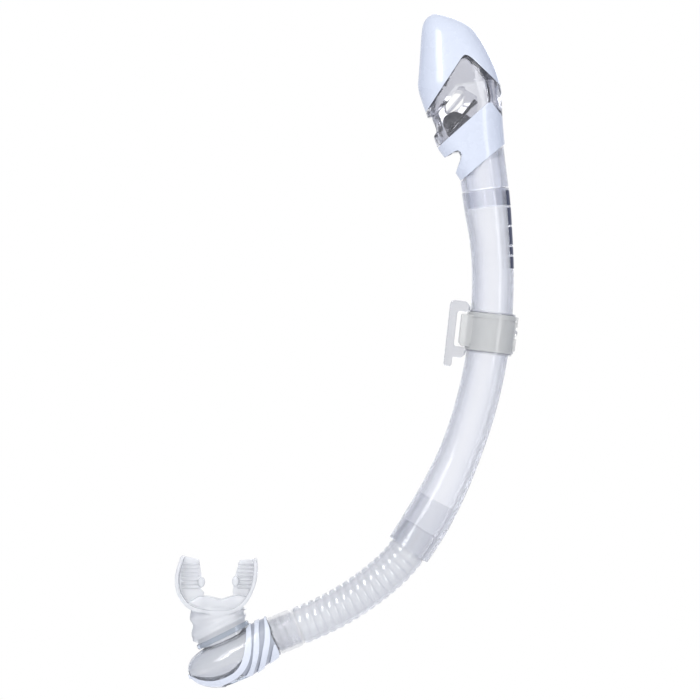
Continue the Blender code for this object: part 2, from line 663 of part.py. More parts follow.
def build_flex_hose():
    """Corrugated silicone hose plugged into the barrel's foot."""
    pairs = hose_profile()
    outer = [ring(tube_frame(s), 0.0, radius, radius, count=COARSE) for s, radius in pairs]
    first = pairs[0][0]
    last = pairs[-1][0]
    steps = 10
    stations = [last + (first - last) * index / steps for index in range(steps + 1)]
    bore = [ring(tube_frame(s), 0.0, HOSE_BORE_R, HOSE_BORE_R, count=COARSE) for s in stations]
    return add_part(loft_mesh("flex_hose", outer + bore, looped=True), clear_silicone("flex_hose"))


def hose_hinge():
    """Middle of the bending part of the hose."""
    return tube_frame(BARREL_LENGTH + RIDGES * RIDGE_PITCH / 2.0).translation.copy()


def build_hose_cuff():
    """Smooth cuff at the hose's lower end, over the chamber's spigot."""
    start = hose_profile()[-1][0] + GAP
    length = BARREL_LENGTH + HOSE_LENGTH - start
    outer, inner = CUFF_R
    mesh = tube_mesh("hose_cuff", HOSE_END, outer, inner, GAP, length, FINE)
    return add_part(mesh, clear_silicone("hose_cuff"), origin=hose_hinge())


def chamber_rings(offset):
    """Rings of the purge chamber, grown by an offset."""
    rings = []
    for along, low, high, depth in CHAMBER_SECTIONS:
        middle = -(low + high) / 2.0
        half = (high - low) / 2.0 + offset
        place = along - offset if along < -59.0 else along
        rings.append(ring(HOSE_END, place, half, depth + offset, centre_x=middle, count=FINE))
    return rings


def build_purge_body():
    """Clear shoe-shaped chamber with a hose spigot, a mouthpiece port and a valve bore."""
    origin = HOSE_END.translation.copy()
    body = add_part(loft_mesh("purge_body", chamber_rings(0.0)), clear_plastic("purge_body"), origin=origin)
    hollow = add_cutter(loft_mesh("chamber_hollow", chamber_rings(-CHAMBER_WALL)[1:]))
    valve = PURGE @ Matrix.Translation((VALVE_POS, 0.0, 0.0))
    combine(hollow, add_cutter(rod_mesh("valve_collar", valve, VALVE_BORE_R + VALVE_COLLAR, -30.0,
        VALVE_TOP)), "DIFFERENCE")
    combine(body, add_cutter(rod_mesh("spigot", HOSE_END, PURGE_SPIGOT_R[0], -6.0, SPIGOT_LENGTH, FINE)),
        "UNION")
    port_outer = [ring(PORT, z, PORT_R[0], PORT_R[1]) for z in (-8.0, PORT_RISE)]
    combine(body, add_cutter(loft_mesh("port_outer", port_outer)), "UNION")
    combine(body, hollow, "DIFFERENCE")
    bore_x = PORT_R[0] - PORT_WALL
    bore_y = PORT_R[1] - PORT_WALL
    port_bore = [ring(PORT, z, bore_x, bore_y) for z in (-9.0, PORT_RISE + 5.0)]
    combine(body, add_cutter(loft_mesh("port_bore", port_bore)), "DIFFERENCE")
    combine(body, add_cutter(rod_mesh("spigot_bore", HOSE_END, PURGE_SPIGOT_R[1], -12.0, 30.0, FINE)),
        "DIFFERENCE")
    combine(body, add_cutter(rod_mesh("valve_bore", valve, VALVE_BORE_R, -30.0, VALVE_TOP + 2.0)),
        "DIFFERENCE")
    return body


def build_stripe(name):
    """White trim stripe that wraps the chamber."""
    origin = HOSE_END.translation.copy()
    mesh = loft_mesh(name, chamber_rings(0.15 + STRIPE_T))
    stripe = add_part(mesh, white_plastic(name), origin=origin)
    low, high, depth = CHAMBER_SECTIONS[-1][1:]
    beyond = ring(HOSE_END, 4.0, (high - low) / 2.0, depth, centre_x=-(low + high) / 2.0)
    combine(stripe, add_cutter(loft_mesh(name + "_inside", chamber_rings(0.15) + [beyond])), "DIFFERENCE")
    combine(stripe, add_cutter(prism_mesh(name + "_outline", PURGE, STRIPE_OUTLINES[name], 40.0)),
        "INTERSECT")
    room = [ring(PORT, z, PORT_R[0] + 3.9, PORT_R[1] + 3.9) for z in (-2.0, 12.0)]
    combine(stripe, add_cutter(loft_mesh(name + "_tie_room", room)), "DIFFERENCE")
    valve = PURGE @ Matrix.Translation((VALVE_POS, 0.0, 0.0))
    combine(stripe, add_cutter(rod_mesh(name + "_valve_room", valve, VALVE_BORE_R + GAP, -30.0, 0.0)),
        "DIFFERENCE")
    return stripe


def spoke_plate(name, frame, rim, hub, thickness):
    """Cross of two spokes under a hub, as cutter shapes for a spider."""
    turn = frame @ Matrix.Rotation(math.radians(90.0), 4, "Z")
    shapes = [rod_mesh(name + "_hub", frame, hub, 0.05, thickness - 0.05, 20)]
    for index, (side, inset) in enumerate(((frame, 0.1), (turn, 0.15))):
        high = thickness - inset
        bar = ((-rim, inset), (rim, inset), (rim, high), (-rim, high))
        shapes.append(prism_mesh("%s_spoke_%d" % (name, index), side, bar, 1.0))
    return shapes


def build_spider(name, low, radius, material):
    """Round grid with a rim, four spokes and a hub, in the chamber's valve bore."""
    frame = PURGE @ Matrix.Translation((VALVE_POS, 0.0, low))
    thickness = 1.2
    mesh = tube_mesh(name, frame, radius, radius - 1.4, 0.0, thickness, COARSE)
    spider = add_part(mesh, material, origin=HOSE_END.translation.copy())
    for shape in spoke_plate(name, frame, radius - 0.7, 2.4, thickness):
        combine(spider, add_cutter(shape), "UNION")
    return spider


def build_purge_valve_seat():
    """Spider that the diaphragm closes against."""
    seat = build_spider("purge_valve_seat", -13.3, VALVE_BORE_R - 0.1, clear_plastic("purge_valve_seat"))
    frame = PURGE @ Matrix.Translation((VALVE_POS, 0.0, -13.3))
    combine(seat, add_cutter(rod_mesh("stem_hole", frame, 1.2, -4.0, 6.0, 20)), "DIFFERENCE")
    return seat


def build_purge_guard():
    """Slotted guard at the mouth of the valve bore."""
    return build_spider("purge_guard", -17.4, VALVE_BORE_R - 0.1, clear_plastic("purge_guard"))


def build_purge_diaphragm():
    """Silicone disc with a stem, under the seat."""
    frame = PURGE @ Matrix.Translation((VALVE_POS, 0.0, -14.3))
    rings = [
        ring(frame, 0.0, 9.4, 9.4, count=COARSE),
        ring(frame, 0.7, 9.4, 9.4, count=COARSE),
        ring(frame, 0.7, 1.0, 1.0, count=COARSE),
        ring(frame, 4.2, 1.0, 1.0, count=COARSE),
    ]
    mesh = loft_mesh("purge_diaphragm", rings)
    return add_part(mesh, clear_silicone("purge_diaphragm"), origin=frame.translation.copy())


def build_mouthpiece_tie():
    """Clamp ring that holds the mouthpiece on its port."""
    outer = (PORT_R[0] + 3.5, PORT_R[1] + 3.5)
    inner = (PORT_R[0] + 2.3, PORT_R[1] + 2.3)
    rings = [ring(PORT, z, *outer) for z in (1.0, 4.2)] + [ring(PORT, z, *inner) for z in (4.2, 1.0)]
    mesh = loft_mesh("mouthpiece_tie", rings, looped=True)
    return add_part(mesh, clear_plastic("mouthpiece_tie"), origin=HOSE_END.translation.copy())


def neck_stations():
    """Frames and half sizes of the mouthpiece's neck, from the port up to the lip."""
    return (
        (PORT @ Matrix.Translation((0.0, 0.0, 1.0)), 16.7, 11.2),
        (PORT @ Matrix.Translation((0.0, 0.0, 4.6)), 16.9, 11.2),
        (PORT @ Matrix.Translation((0.2, 0.0, 6.8)), 18.8, 12.6),
        (PORT @ Matrix.Translation((0.4, 0.0, 9.4)), 19.0, 12.6),
        (lean_frame(-154.0, -184.6, 17.0), 17.6, 11.4),
        (lean_frame(-154.8, -181.0, 8.0), 18.4, 11.0),
        (lean_frame(-155.2, -177.8, 0.0), 16.4, 9.4),
    )


def passage_stations():
    """Frames and half sizes of the air passage through the mouthpiece."""
    return (
        (PORT @ Matrix.Translation((0.0, 0.0, -1.0)), 15.0, 9.5),
        (PORT @ Matrix.Translation((0.2, 0.0, 8.2)), 15.0, 9.5),
        (lean_frame(-154.0, -185.0, 17.0), 14.0, 8.6),
        (lean_frame(-154.4, -180.0, 4.0), 11.5, 6.0),
        (lean_frame(-154.4, -164.0, 0.0), 9.0, 4.5),
    )


def ribbon(points, half):
    """Closed outline of a band this far each side of a line."""
    sides = ([], [])
    for index, (x, z) in enumerate(points):
        before = points[max(index - 1, 0)]
        after = points[min(index + 1, len(points) - 1)]
        along = Vector((after[0] - before[0], after[1] - before[1])).normalized()
        sides[0].append((x - along.y * half, z + along.x * half))
        sides[1].append((x + along.y * half, z - along.x * half))
    return sides[0] + sides[1][::-1]


def build_mouthpiece():
    """Silicone mouthpiece: bellows neck, lip wall, bite wings and lugs."""
    neck = [ring(frame, 0.0, rx, ry) for frame, rx, ry in neck_stations()]
    piece = add_part(loft_mesh("mouthpiece", neck), clear_silicone("mouthpiece"),
        origin=HOSE_END.translation.copy())
    combine(piece, add_cutter(prism_mesh("lip", BITE, ribbon(LIP_LINE, LIP_T / 2.0), LIP_HALF)), "UNION")
    combine(piece, add_cutter(prism_mesh("wings", BITE, WING_OUTLINE, WING_HALF)), "UNION")
    combine(piece, add_cutter(prism_mesh("bridge", BITE, BRIDGE_OUTLINE, BRIDGE_HALF)), "UNION")
    for index, (x, z, size) in enumerate(LUGS):
        block = ((x - size, z - 3.0), (x + size, z - 3.0), (x + size, z + 3.0), (x - size, z + 3.0))
        combine(piece, add_cutter(prism_mesh("lug_%d" % index, BITE, block, LUG_HALF)), "UNION")
    passage = [ring(frame, 0.0, rx, ry) for frame, rx, ry in passage_stations()]
    combine(piece, add_cutter(loft_mesh("passage", passage)), "DIFFERENCE")
    return piece


def main():
    """Build every part."""
    build_barrel()
    build_top_socket()
    build_valve_housing()
    build_splash_skirt()
    build_top_cap()
    build_valve_seat()
    build_float_arm()
    build_float_block()
    build_valve_dome()
    build_keeper_liner()
    build_keeper_hook()
    build_keeper_band()
    build_latch_stud()
    build_hose_connector()
    build_flex_hose()
    build_hose_cuff()
    build_purge_body()
    for name in STRIPE_OUTLINES:
        build_stripe(name)
    build_purge_valve_seat()
    build_purge_diaphragm()
    build_purge_guard()
    build_mouthpiece_tie()
    build_mouthpiece()


main()
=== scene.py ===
"""Looks of a dry-top snorkel: smooth rebuilt pieces, procedural finishes and a soft white studio."""

from __future__ import annotations

import json
import logging
import math
from dataclasses import dataclass, field
from enum import Enum
from typing import Callable, Sequence

import bmesh
import bpy
import numpy as np
from mathutils import Matrix, Vector

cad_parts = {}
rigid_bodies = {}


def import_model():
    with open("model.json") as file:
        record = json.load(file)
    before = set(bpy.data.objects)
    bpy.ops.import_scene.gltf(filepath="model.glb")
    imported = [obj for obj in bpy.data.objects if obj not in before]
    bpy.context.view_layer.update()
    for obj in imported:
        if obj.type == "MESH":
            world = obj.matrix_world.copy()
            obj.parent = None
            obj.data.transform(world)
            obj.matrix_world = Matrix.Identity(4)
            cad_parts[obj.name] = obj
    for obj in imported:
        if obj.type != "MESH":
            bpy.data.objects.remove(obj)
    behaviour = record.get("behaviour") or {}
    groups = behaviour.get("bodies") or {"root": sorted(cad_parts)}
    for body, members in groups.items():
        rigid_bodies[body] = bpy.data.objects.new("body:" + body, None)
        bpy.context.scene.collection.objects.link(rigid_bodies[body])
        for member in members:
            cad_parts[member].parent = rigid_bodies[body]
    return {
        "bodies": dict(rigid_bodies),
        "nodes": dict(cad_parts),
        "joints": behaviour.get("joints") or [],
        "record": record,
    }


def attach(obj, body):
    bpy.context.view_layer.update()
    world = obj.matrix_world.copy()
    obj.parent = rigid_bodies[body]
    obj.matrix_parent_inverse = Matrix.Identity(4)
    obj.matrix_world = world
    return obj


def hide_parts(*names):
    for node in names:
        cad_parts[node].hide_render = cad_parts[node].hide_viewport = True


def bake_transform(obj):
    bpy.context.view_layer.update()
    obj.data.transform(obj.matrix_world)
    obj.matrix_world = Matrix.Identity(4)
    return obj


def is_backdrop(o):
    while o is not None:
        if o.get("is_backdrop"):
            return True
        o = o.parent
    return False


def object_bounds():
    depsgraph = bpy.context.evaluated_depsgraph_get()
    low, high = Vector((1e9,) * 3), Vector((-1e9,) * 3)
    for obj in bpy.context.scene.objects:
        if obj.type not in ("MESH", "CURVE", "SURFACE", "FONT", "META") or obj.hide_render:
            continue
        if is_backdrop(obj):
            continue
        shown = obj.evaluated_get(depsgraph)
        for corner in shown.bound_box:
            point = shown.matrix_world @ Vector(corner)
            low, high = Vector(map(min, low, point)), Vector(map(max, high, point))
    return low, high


LOG = logging.getLogger("snorkel")
MM = 0.001
ROUND = 96
FINE = 112

Outline = Sequence[tuple[float, float]]
Row = tuple[float, ...]


class Operation(Enum):
    """Boolean operations, by the modifier's own names."""

    CUT = "DIFFERENCE"
    JOIN = "UNION"
    KEEP = "INTERSECT"


class Finish(Enum):
    """Every finish used on the snorkel."""

    CLEAR = "clear_plastic"
    FITTING = "fitting_plastic"
    CHAMBER = "chamber_plastic"
    CUFF = "cuff_silicone"
    SOCKET = "socket_plastic"
    SMOKE = "smoke_plastic"
    WHITE = "white_gloss"
    STRIPE = "stripe_white"
    # Opaque grey skin painted as shade between the purge chamber's stripes.
    SHADE_BACKING = "grey_backing"
    HOOK = "hook_plastic"
    BAND = "band_silicone"
    HOSE = "hose_silicone"
    MOUTH = "mouth_silicone"
    TIE = "tie_plastic"
    RUBBER = "black_rubber"
    FOAM = "float_foam"
    INK = "navy_ink"


# ---------------------------------------------------------------------------
# Geometry helpers, in millimetres
# ---------------------------------------------------------------------------


def lean_frame(x: float, z: float, lean: float) -> Matrix:
    """Frame in the XZ plane whose local Z leans from +Z towards -X.

    Args:
        x: Origin along X, in millimetres.
        z: Origin along Z, in millimetres.
        lean: Lean in degrees.

    Returns:
        The frame's matrix.
    """
    return Matrix.Translation((x, 0.0, z)) @ Matrix.Rotation(-math.radians(lean), 4, "Y")


def right_of(lean: float) -> Vector:
    """Unit vector across a leaning tube, in the XZ plane."""
    return Vector((math.cos(math.radians(lean)), 0.0, math.sin(math.radians(lean))))


def up_of(lean: float) -> Vector:
    """Unit vector up along a leaning tube."""
    return Vector((-math.sin(math.radians(lean)), 0.0, math.cos(math.radians(lean))))


def smooth_rows(rows: Sequence[Row], per_span: int) -> list[Row]:
    """Pass a smooth curve through rows of numbers.

    Args:
        rows: The rows to pass through.
        per_span: How many rows to give between two neighbours.

    Returns:
        The denser rows, the first and last unchanged.
    """
    data = np.array(rows, float)
    steps = np.linalg.norm(np.diff(data, axis=0), axis=1)
    place = np.concatenate(([0.0], np.cumsum(np.maximum(steps, 1e-6))))
    slopes = np.diff(data, axis=0) / np.diff(place)[:, None]
    tangents = np.vstack((slopes[:1], (slopes[1:] + slopes[:-1]) / 2.0, slopes[-1:]))
    result: list[Row] = []
    for index in range(len(data) - 1):
        span = place[index + 1] - place[index]
        for step in range(per_span):
            t = step / per_span
            a = (1 + 2 * t) * (1 - t) ** 2
            b = t * (1 - t) ** 2
            c = t * t * (3 - 2 * t)
            d = t * t * (t - 1)
            row = (
                a * data[index]
                + b * span * tangents[index]
                + c * data[index + 1]
                + d * span * tangents[index + 1]
            )
            result.append(tuple(row))
    result.append(tuple(data[-1]))
    return result


def smooth_outline(outline: Outline, per_span: int = 6) -> list[tuple[float, float]]:
    """Round an outline by a closed smooth curve through its points."""
    points = list(outline)
    wrapped = points[-2:] + points + points[:2]
    rows = smooth_rows(wrapped, per_span)
    return [(row[0], row[1]) for row in rows[2 * per_span : -2 * per_span + per_span - 1]]


def ring(
    frame: Matrix,
    height: float,
    radius_x: float,
    radius_y: float,
    centre_x: float = 0.0,
    power: float = 2.0,
    count: int = ROUND,
) -> np.ndarray:
    """Ring of points across a frame's Z axis.

    Args:
        frame: The frame that the ring lies in.
        height: Distance along the frame's Z axis.
        radius_x: Half width along the frame's X axis.
        radius_y: Half depth along the frame's Y axis.
        centre_x: Shift of the ring's centre along X.
        power: 2 is an oval; more is squarer.
        count: Number of points.

    Returns:
        The points as rows.
    """
    turn = np.arange(count) * (math.tau / count)
    cos, sin = np.cos(turn), np.sin(turn)
    x = centre_x + radius_x * np.sign(cos) * np.abs(cos) ** (2.0 / power)
    y = radius_y * np.sign(sin) * np.abs(sin) ** (2.0 / power)
    local = np.column_stack((x, y, np.full(count, height), np.ones(count)))
    return (local @ np.array(frame).T)[:, :3]


def new_object(name: str, verts: np.ndarray, faces: Sequence[Sequence[int]]) -> bpy.types.Object:
    """Make a mesh object with its faces turned outwards.

    Args:
        name: The object's name.
        verts: Points as rows, in millimetres.
        faces: Each face's corners, as numbers of points.

    Returns:
        The object, linked to the scene.
    """
    mesh = bpy.data.meshes.new(name)
    mesh.from_pydata((verts * MM).tolist(), [], [list(face) for face in faces])
    bm = bmesh.new()
    bm.from_mesh(mesh)
    bmesh.ops.recalc_face_normals(bm, faces=bm.faces)
    bm.to_mesh(mesh)
    bm.free()
    obj = bpy.data.objects.new(name, mesh)
    bpy.context.scene.collection.objects.link(obj)
    return obj


def loft(name: str, rings: Sequence[np.ndarray], looped: bool = False) -> bpy.types.Object:
    """Skin a row of equal rings.

    Args:
        name: The object's name.
        rings: The rings, in order.
        looped: Join the last ring to the first, in place of capping both ends.

    Returns:
        The closed object.
    """
    count = len(rings[0])
    verts = np.vstack(rings)
    last = len(rings) if looped else len(rings) - 1
    faces: list[Sequence[int]] = []
    for row in range(last):
        low = row * count
        high = ((row + 1) % len(rings)) * count
        for index in range(count):
            after = (index + 1) % count
            faces.append((low + index, low + after, high + after, high + index))
    if not looped:
        faces.append(range(count))
        faces.append(range((len(rings) - 1) * count, len(rings) * count))
    return new_object(name, verts, faces)


def revolve(name: str, frame: Matrix, profile: Outline, count: int = ROUND) -> bpy.types.Object:
    """Turn a closed profile about a frame's Z axis.

    Args:
        name: The object's name.
        frame: The frame of the axis.
        profile: Radius and height pairs, in order round the profile.
        count: Number of points in each ring.

    Returns:
        The closed ring.
    """
    return loft(name, [ring(frame, z, r, r, count=count) for r, z in profile], looped=True)


def rod(
    name: str, frame: Matrix, radius: float, low: float, high: float, count: int = 64
) -> bpy.types.Object:
    """Round rod along a frame's Z axis.

    Args:
        name: The object's name.
        frame: The frame of the axis.
        radius: The rod's radius.
        low: Height of its lower end.
        high: Height of its upper end.
        count: Number of points round it.

    Returns:
        The closed rod.
    """
    return loft(name, [ring(frame, z, radius, radius, count=count) for z in (low, high)])


def prism(
    name: str, frame: Matrix, outline: Outline, half_depth: float, edge: float = 0.0, middle: float = 0.0
) -> bpy.types.Object:
    """Plate with an outline in a frame's XZ plane, thick along Y.

    Args:
        name: The object's name.
        frame: The frame of the outline.
        outline: Corner points.
        half_depth: Half the thickness along Y.
        edge: Rounding of the plate's edges.
        middle: Shift along Y.

    Returns:
        The closed plate.
    """
    count = len(outline)
    rows = []
    for side in (-half_depth, half_depth):
        rows.extend((x, middle + side, z, 1.0) for x, z in outline)
    verts = (np.array(rows) @ np.array(frame).T)[:, :3]
    faces: list[Sequence[int]] = [range(count), range(2 * count - 1, count - 1, -1)]
    for index in range(count):
        after = (index + 1) % count
        faces.append((index, after, count + after, count + index))
    obj = new_object(name, verts, faces)
    if edge > 0.0:
        round_edges(obj, edge, 50.0)
    return obj


def apply_modifiers(obj: bpy.types.Object) -> bpy.types.Object:
    """Make an object's modifiers part of its mesh."""
    bpy.context.view_layer.update()
    mesh = bpy.data.meshes.new_from_object(obj.evaluated_get(bpy.context.evaluated_depsgraph_get()))
    old = obj.data
    obj.modifiers.clear()
    obj.data = mesh
    bpy.data.meshes.remove(old)
    return obj


def combine(obj: bpy.types.Object, other: bpy.types.Object, operation: Operation) -> bpy.types.Object:
    """Combine two solids and remove the second.

    Args:
        obj: The object that is kept.
        other: The shape that is used up.
        operation: What to do with them.

    Returns:
        The first object.
    """
    modifier = obj.modifiers.new("combine", "BOOLEAN")
    modifier.operation = operation.value
    modifier.solver = "EXACT"
    modifier.object = other
    apply_modifiers(obj)
    bpy.data.objects.remove(other)
    return obj


def round_edges(
    obj: bpy.types.Object, width: float, angle: float = 35.0, segments: int = 3
) -> bpy.types.Object:
    """Round the sharp edges.

    Args:
        obj: The object.
        width: How far each rounding reaches.
        angle: Edges that turn by more degrees than this are rounded.
        segments: Faces across each rounding.

    Returns:
        The object.
    """
    modifier = obj.modifiers.new("edge", "BEVEL")
    modifier.width = width * MM
    modifier.segments = segments
    modifier.limit_method = "ANGLE"
    modifier.angle_limit = math.radians(angle)
    modifier.use_clamp_overlap = True
    return apply_modifiers(obj)


def soften(obj: bpy.types.Object, voxel: float, rounds: int) -> bpy.types.Object:
    """Melt a joined solid into one soft moulding.

    Args:
        obj: The solid.
        voxel: Grain of the new surface, in millimetres.
        rounds: Smoothing passes.

    Returns:
        The object.
    """
    remesh = obj.modifiers.new("remesh", "REMESH")
    remesh.mode = "VOXEL"
    remesh.voxel_size = voxel * MM
    smooth = obj.modifiers.new("smooth", "SMOOTH")
    smooth.factor = 0.5
    smooth.iterations = rounds
    return apply_modifiers(obj)


def fillet(low: tuple[float, float], high: tuple[float, float], size: float) -> list[tuple[float, float]]:
    """Profile points that round a tube's rim between two radii at one height.

    Args:
        low: Radius and height where the rim starts.
        high: Radius and height where the rim ends.
        size: How far the rounding bulges past both.

    Returns:
        Radius and height pairs.
    """
    points = []
    for index in range(9):
        turn = math.pi * index / 8.0
        share = (1.0 - math.cos(turn)) / 2.0
        radius = low[0] + (high[0] - low[0]) * share
        height = low[1] + (high[1] - low[1]) * share + size * math.sin(turn)
        points.append((radius, height))
    return points


# ---------------------------------------------------------------------------
# Finishes
# ---------------------------------------------------------------------------


class EffectLibrary:
    """Shader node groups shared by the finishes; each outputs only values, colours or normals."""

    def __init__(self) -> None:
        """Build every group once."""
        self.handling = self._handling()
        self.moulding = self._moulding()
        self.tint = self._tint()

    @staticmethod
    def _group(
        name: str, inputs: Sequence[tuple[str, str, float]], outputs: Sequence[tuple[str, str]]
    ) -> tuple[bpy.types.NodeTree, bpy.types.Node, bpy.types.Node]:
        """Empty node group with its sockets.

        Args:
            name: The group's name.
            inputs: Name, socket type and starting value of each input.
            outputs: Name and socket type of each output.

        Returns:
            The group, its input node and its output node.
        """
        tree = bpy.data.node_groups.new(name, "ShaderNodeTree")
        for label, kind, value in inputs:
            socket = tree.interface.new_socket(label, in_out="INPUT", socket_type=kind)
            if kind == "NodeSocketFloat":
                socket.default_value = value
        for label, kind in outputs:
            tree.interface.new_socket(label, in_out="OUTPUT", socket_type=kind)
        return tree, tree.nodes.new("NodeGroupInput"), tree.nodes.new("NodeGroupOutput")

    @staticmethod
    def _noise(tree: bpy.types.NodeTree, detail: float, roughness: float) -> bpy.types.Node:
        """Noise on object coordinates.

        Args:
            tree: The group that the noise is added to.
            detail: How many finer layers it has.
            roughness: How strong the finer layers are.

        Returns:
            The noise node.
        """
        place = tree.nodes.new("ShaderNodeTexCoord")
        noise = tree.nodes.new("ShaderNodeTexNoise")
        noise.inputs["Detail"].default_value = detail
        noise.inputs["Roughness"].default_value = roughness
        tree.links.new(place.outputs["Object"], noise.inputs["Vector"])
        return noise

    def _handling(self) -> bpy.types.NodeTree:
        """Smudges and hairline scuffs, as one value to add to the roughness."""
        tree, given, out = self._group(
            "handling_marks",
            (("Scale", "NodeSocketFloat", 60.0), ("Amount", "NodeSocketFloat", 0.1)),
            (("Value", "NodeSocketFloat"),),
        )
        smudge = self._noise(tree, 5.0, 0.6)
        tree.links.new(given.outputs["Scale"], smudge.inputs["Scale"])
        spread = tree.nodes.new("ShaderNodeMapRange")
        spread.inputs["From Min"].default_value = 0.42
        spread.inputs["From Max"].default_value = 0.72
        tree.links.new(smudge.outputs["Fac"], spread.inputs["Value"])
        scuff = self._noise(tree, 2.0, 0.5)
        scuff.inputs["Scale"].default_value = 900.0
        scuff.inputs["Distortion"].default_value = 2.0
        thin = tree.nodes.new("ShaderNodeMapRange")
        thin.inputs["From Min"].default_value = 0.62
        thin.inputs["From Max"].default_value = 0.7
        thin.inputs["To Max"].default_value = 0.5
        tree.links.new(scuff.outputs["Fac"], thin.inputs["Value"])
        both = tree.nodes.new("ShaderNodeMath")
        both.operation = "ADD"
        tree.links.new(spread.outputs["Result"], both.inputs[0])
        tree.links.new(thin.outputs["Result"], both.inputs[1])
        scale = tree.nodes.new("ShaderNodeMath")
        scale.operation = "MULTIPLY"
        tree.links.new(both.outputs[0], scale.inputs[0])
        tree.links.new(given.outputs["Amount"], scale.inputs[1])
        tree.links.new(scale.outputs[0], out.inputs["Value"])
        return tree

    def _moulding(self) -> bpy.types.NodeTree:
        """Slow flow waves and fine grain of a moulded surface, as a normal."""
        tree, given, out = self._group(
            "moulding_flow",
            (
                ("Wave Scale", "NodeSocketFloat", 90.0),
                ("Wave Depth", "NodeSocketFloat", 0.1),
                ("Grain Scale", "NodeSocketFloat", 2500.0),
                ("Grain Depth", "NodeSocketFloat", 0.02),
            ),
            (("Normal", "NodeSocketVector"),),
        )
        wave = self._noise(tree, 2.0, 0.4)
        tree.links.new(given.outputs["Wave Scale"], wave.inputs["Scale"])
        grain = self._noise(tree, 3.0, 0.6)
        tree.links.new(given.outputs["Grain Scale"], grain.inputs["Scale"])
        slow = tree.nodes.new("ShaderNodeBump")
        slow.inputs["Distance"].default_value = 0.0012
        tree.links.new(given.outputs["Wave Depth"], slow.inputs["Strength"])
        tree.links.new(wave.outputs["Fac"], slow.inputs["Height"])
        fine = tree.nodes.new("ShaderNodeBump")
        fine.inputs["Distance"].default_value = 0.0001
        tree.links.new(given.outputs["Grain Depth"], fine.inputs["Strength"])
        tree.links.new(grain.outputs["Fac"], fine.inputs["Height"])
        tree.links.new(slow.outputs["Normal"], fine.inputs["Normal"])
        tree.links.new(fine.outputs["Normal"], out.inputs["Normal"])
        return tree

    def _tint(self) -> bpy.types.NodeTree:
        """Slow drift between two tints, as a colour."""
        tree, given, out = self._group(
            "tint_drift",
            (
                ("Tint", "NodeSocketColor", 0.0),
                ("Drift", "NodeSocketColor", 0.0),
                ("Scale", "NodeSocketFloat", 25.0),
            ),
            (("Color", "NodeSocketColor"),),
        )
        cloud = self._noise(tree, 3.0, 0.55)
        tree.links.new(given.outputs["Scale"], cloud.inputs["Scale"])
        mix = tree.nodes.new("ShaderNodeMix")
        mix.data_type = "RGBA"
        tree.links.new(cloud.outputs["Fac"], mix.inputs["Factor"])
        tree.links.new(given.outputs["Tint"], mix.inputs["A"])
        tree.links.new(given.outputs["Drift"], mix.inputs["B"])
        tree.links.new(mix.outputs["Result"], out.inputs["Color"])
        return tree


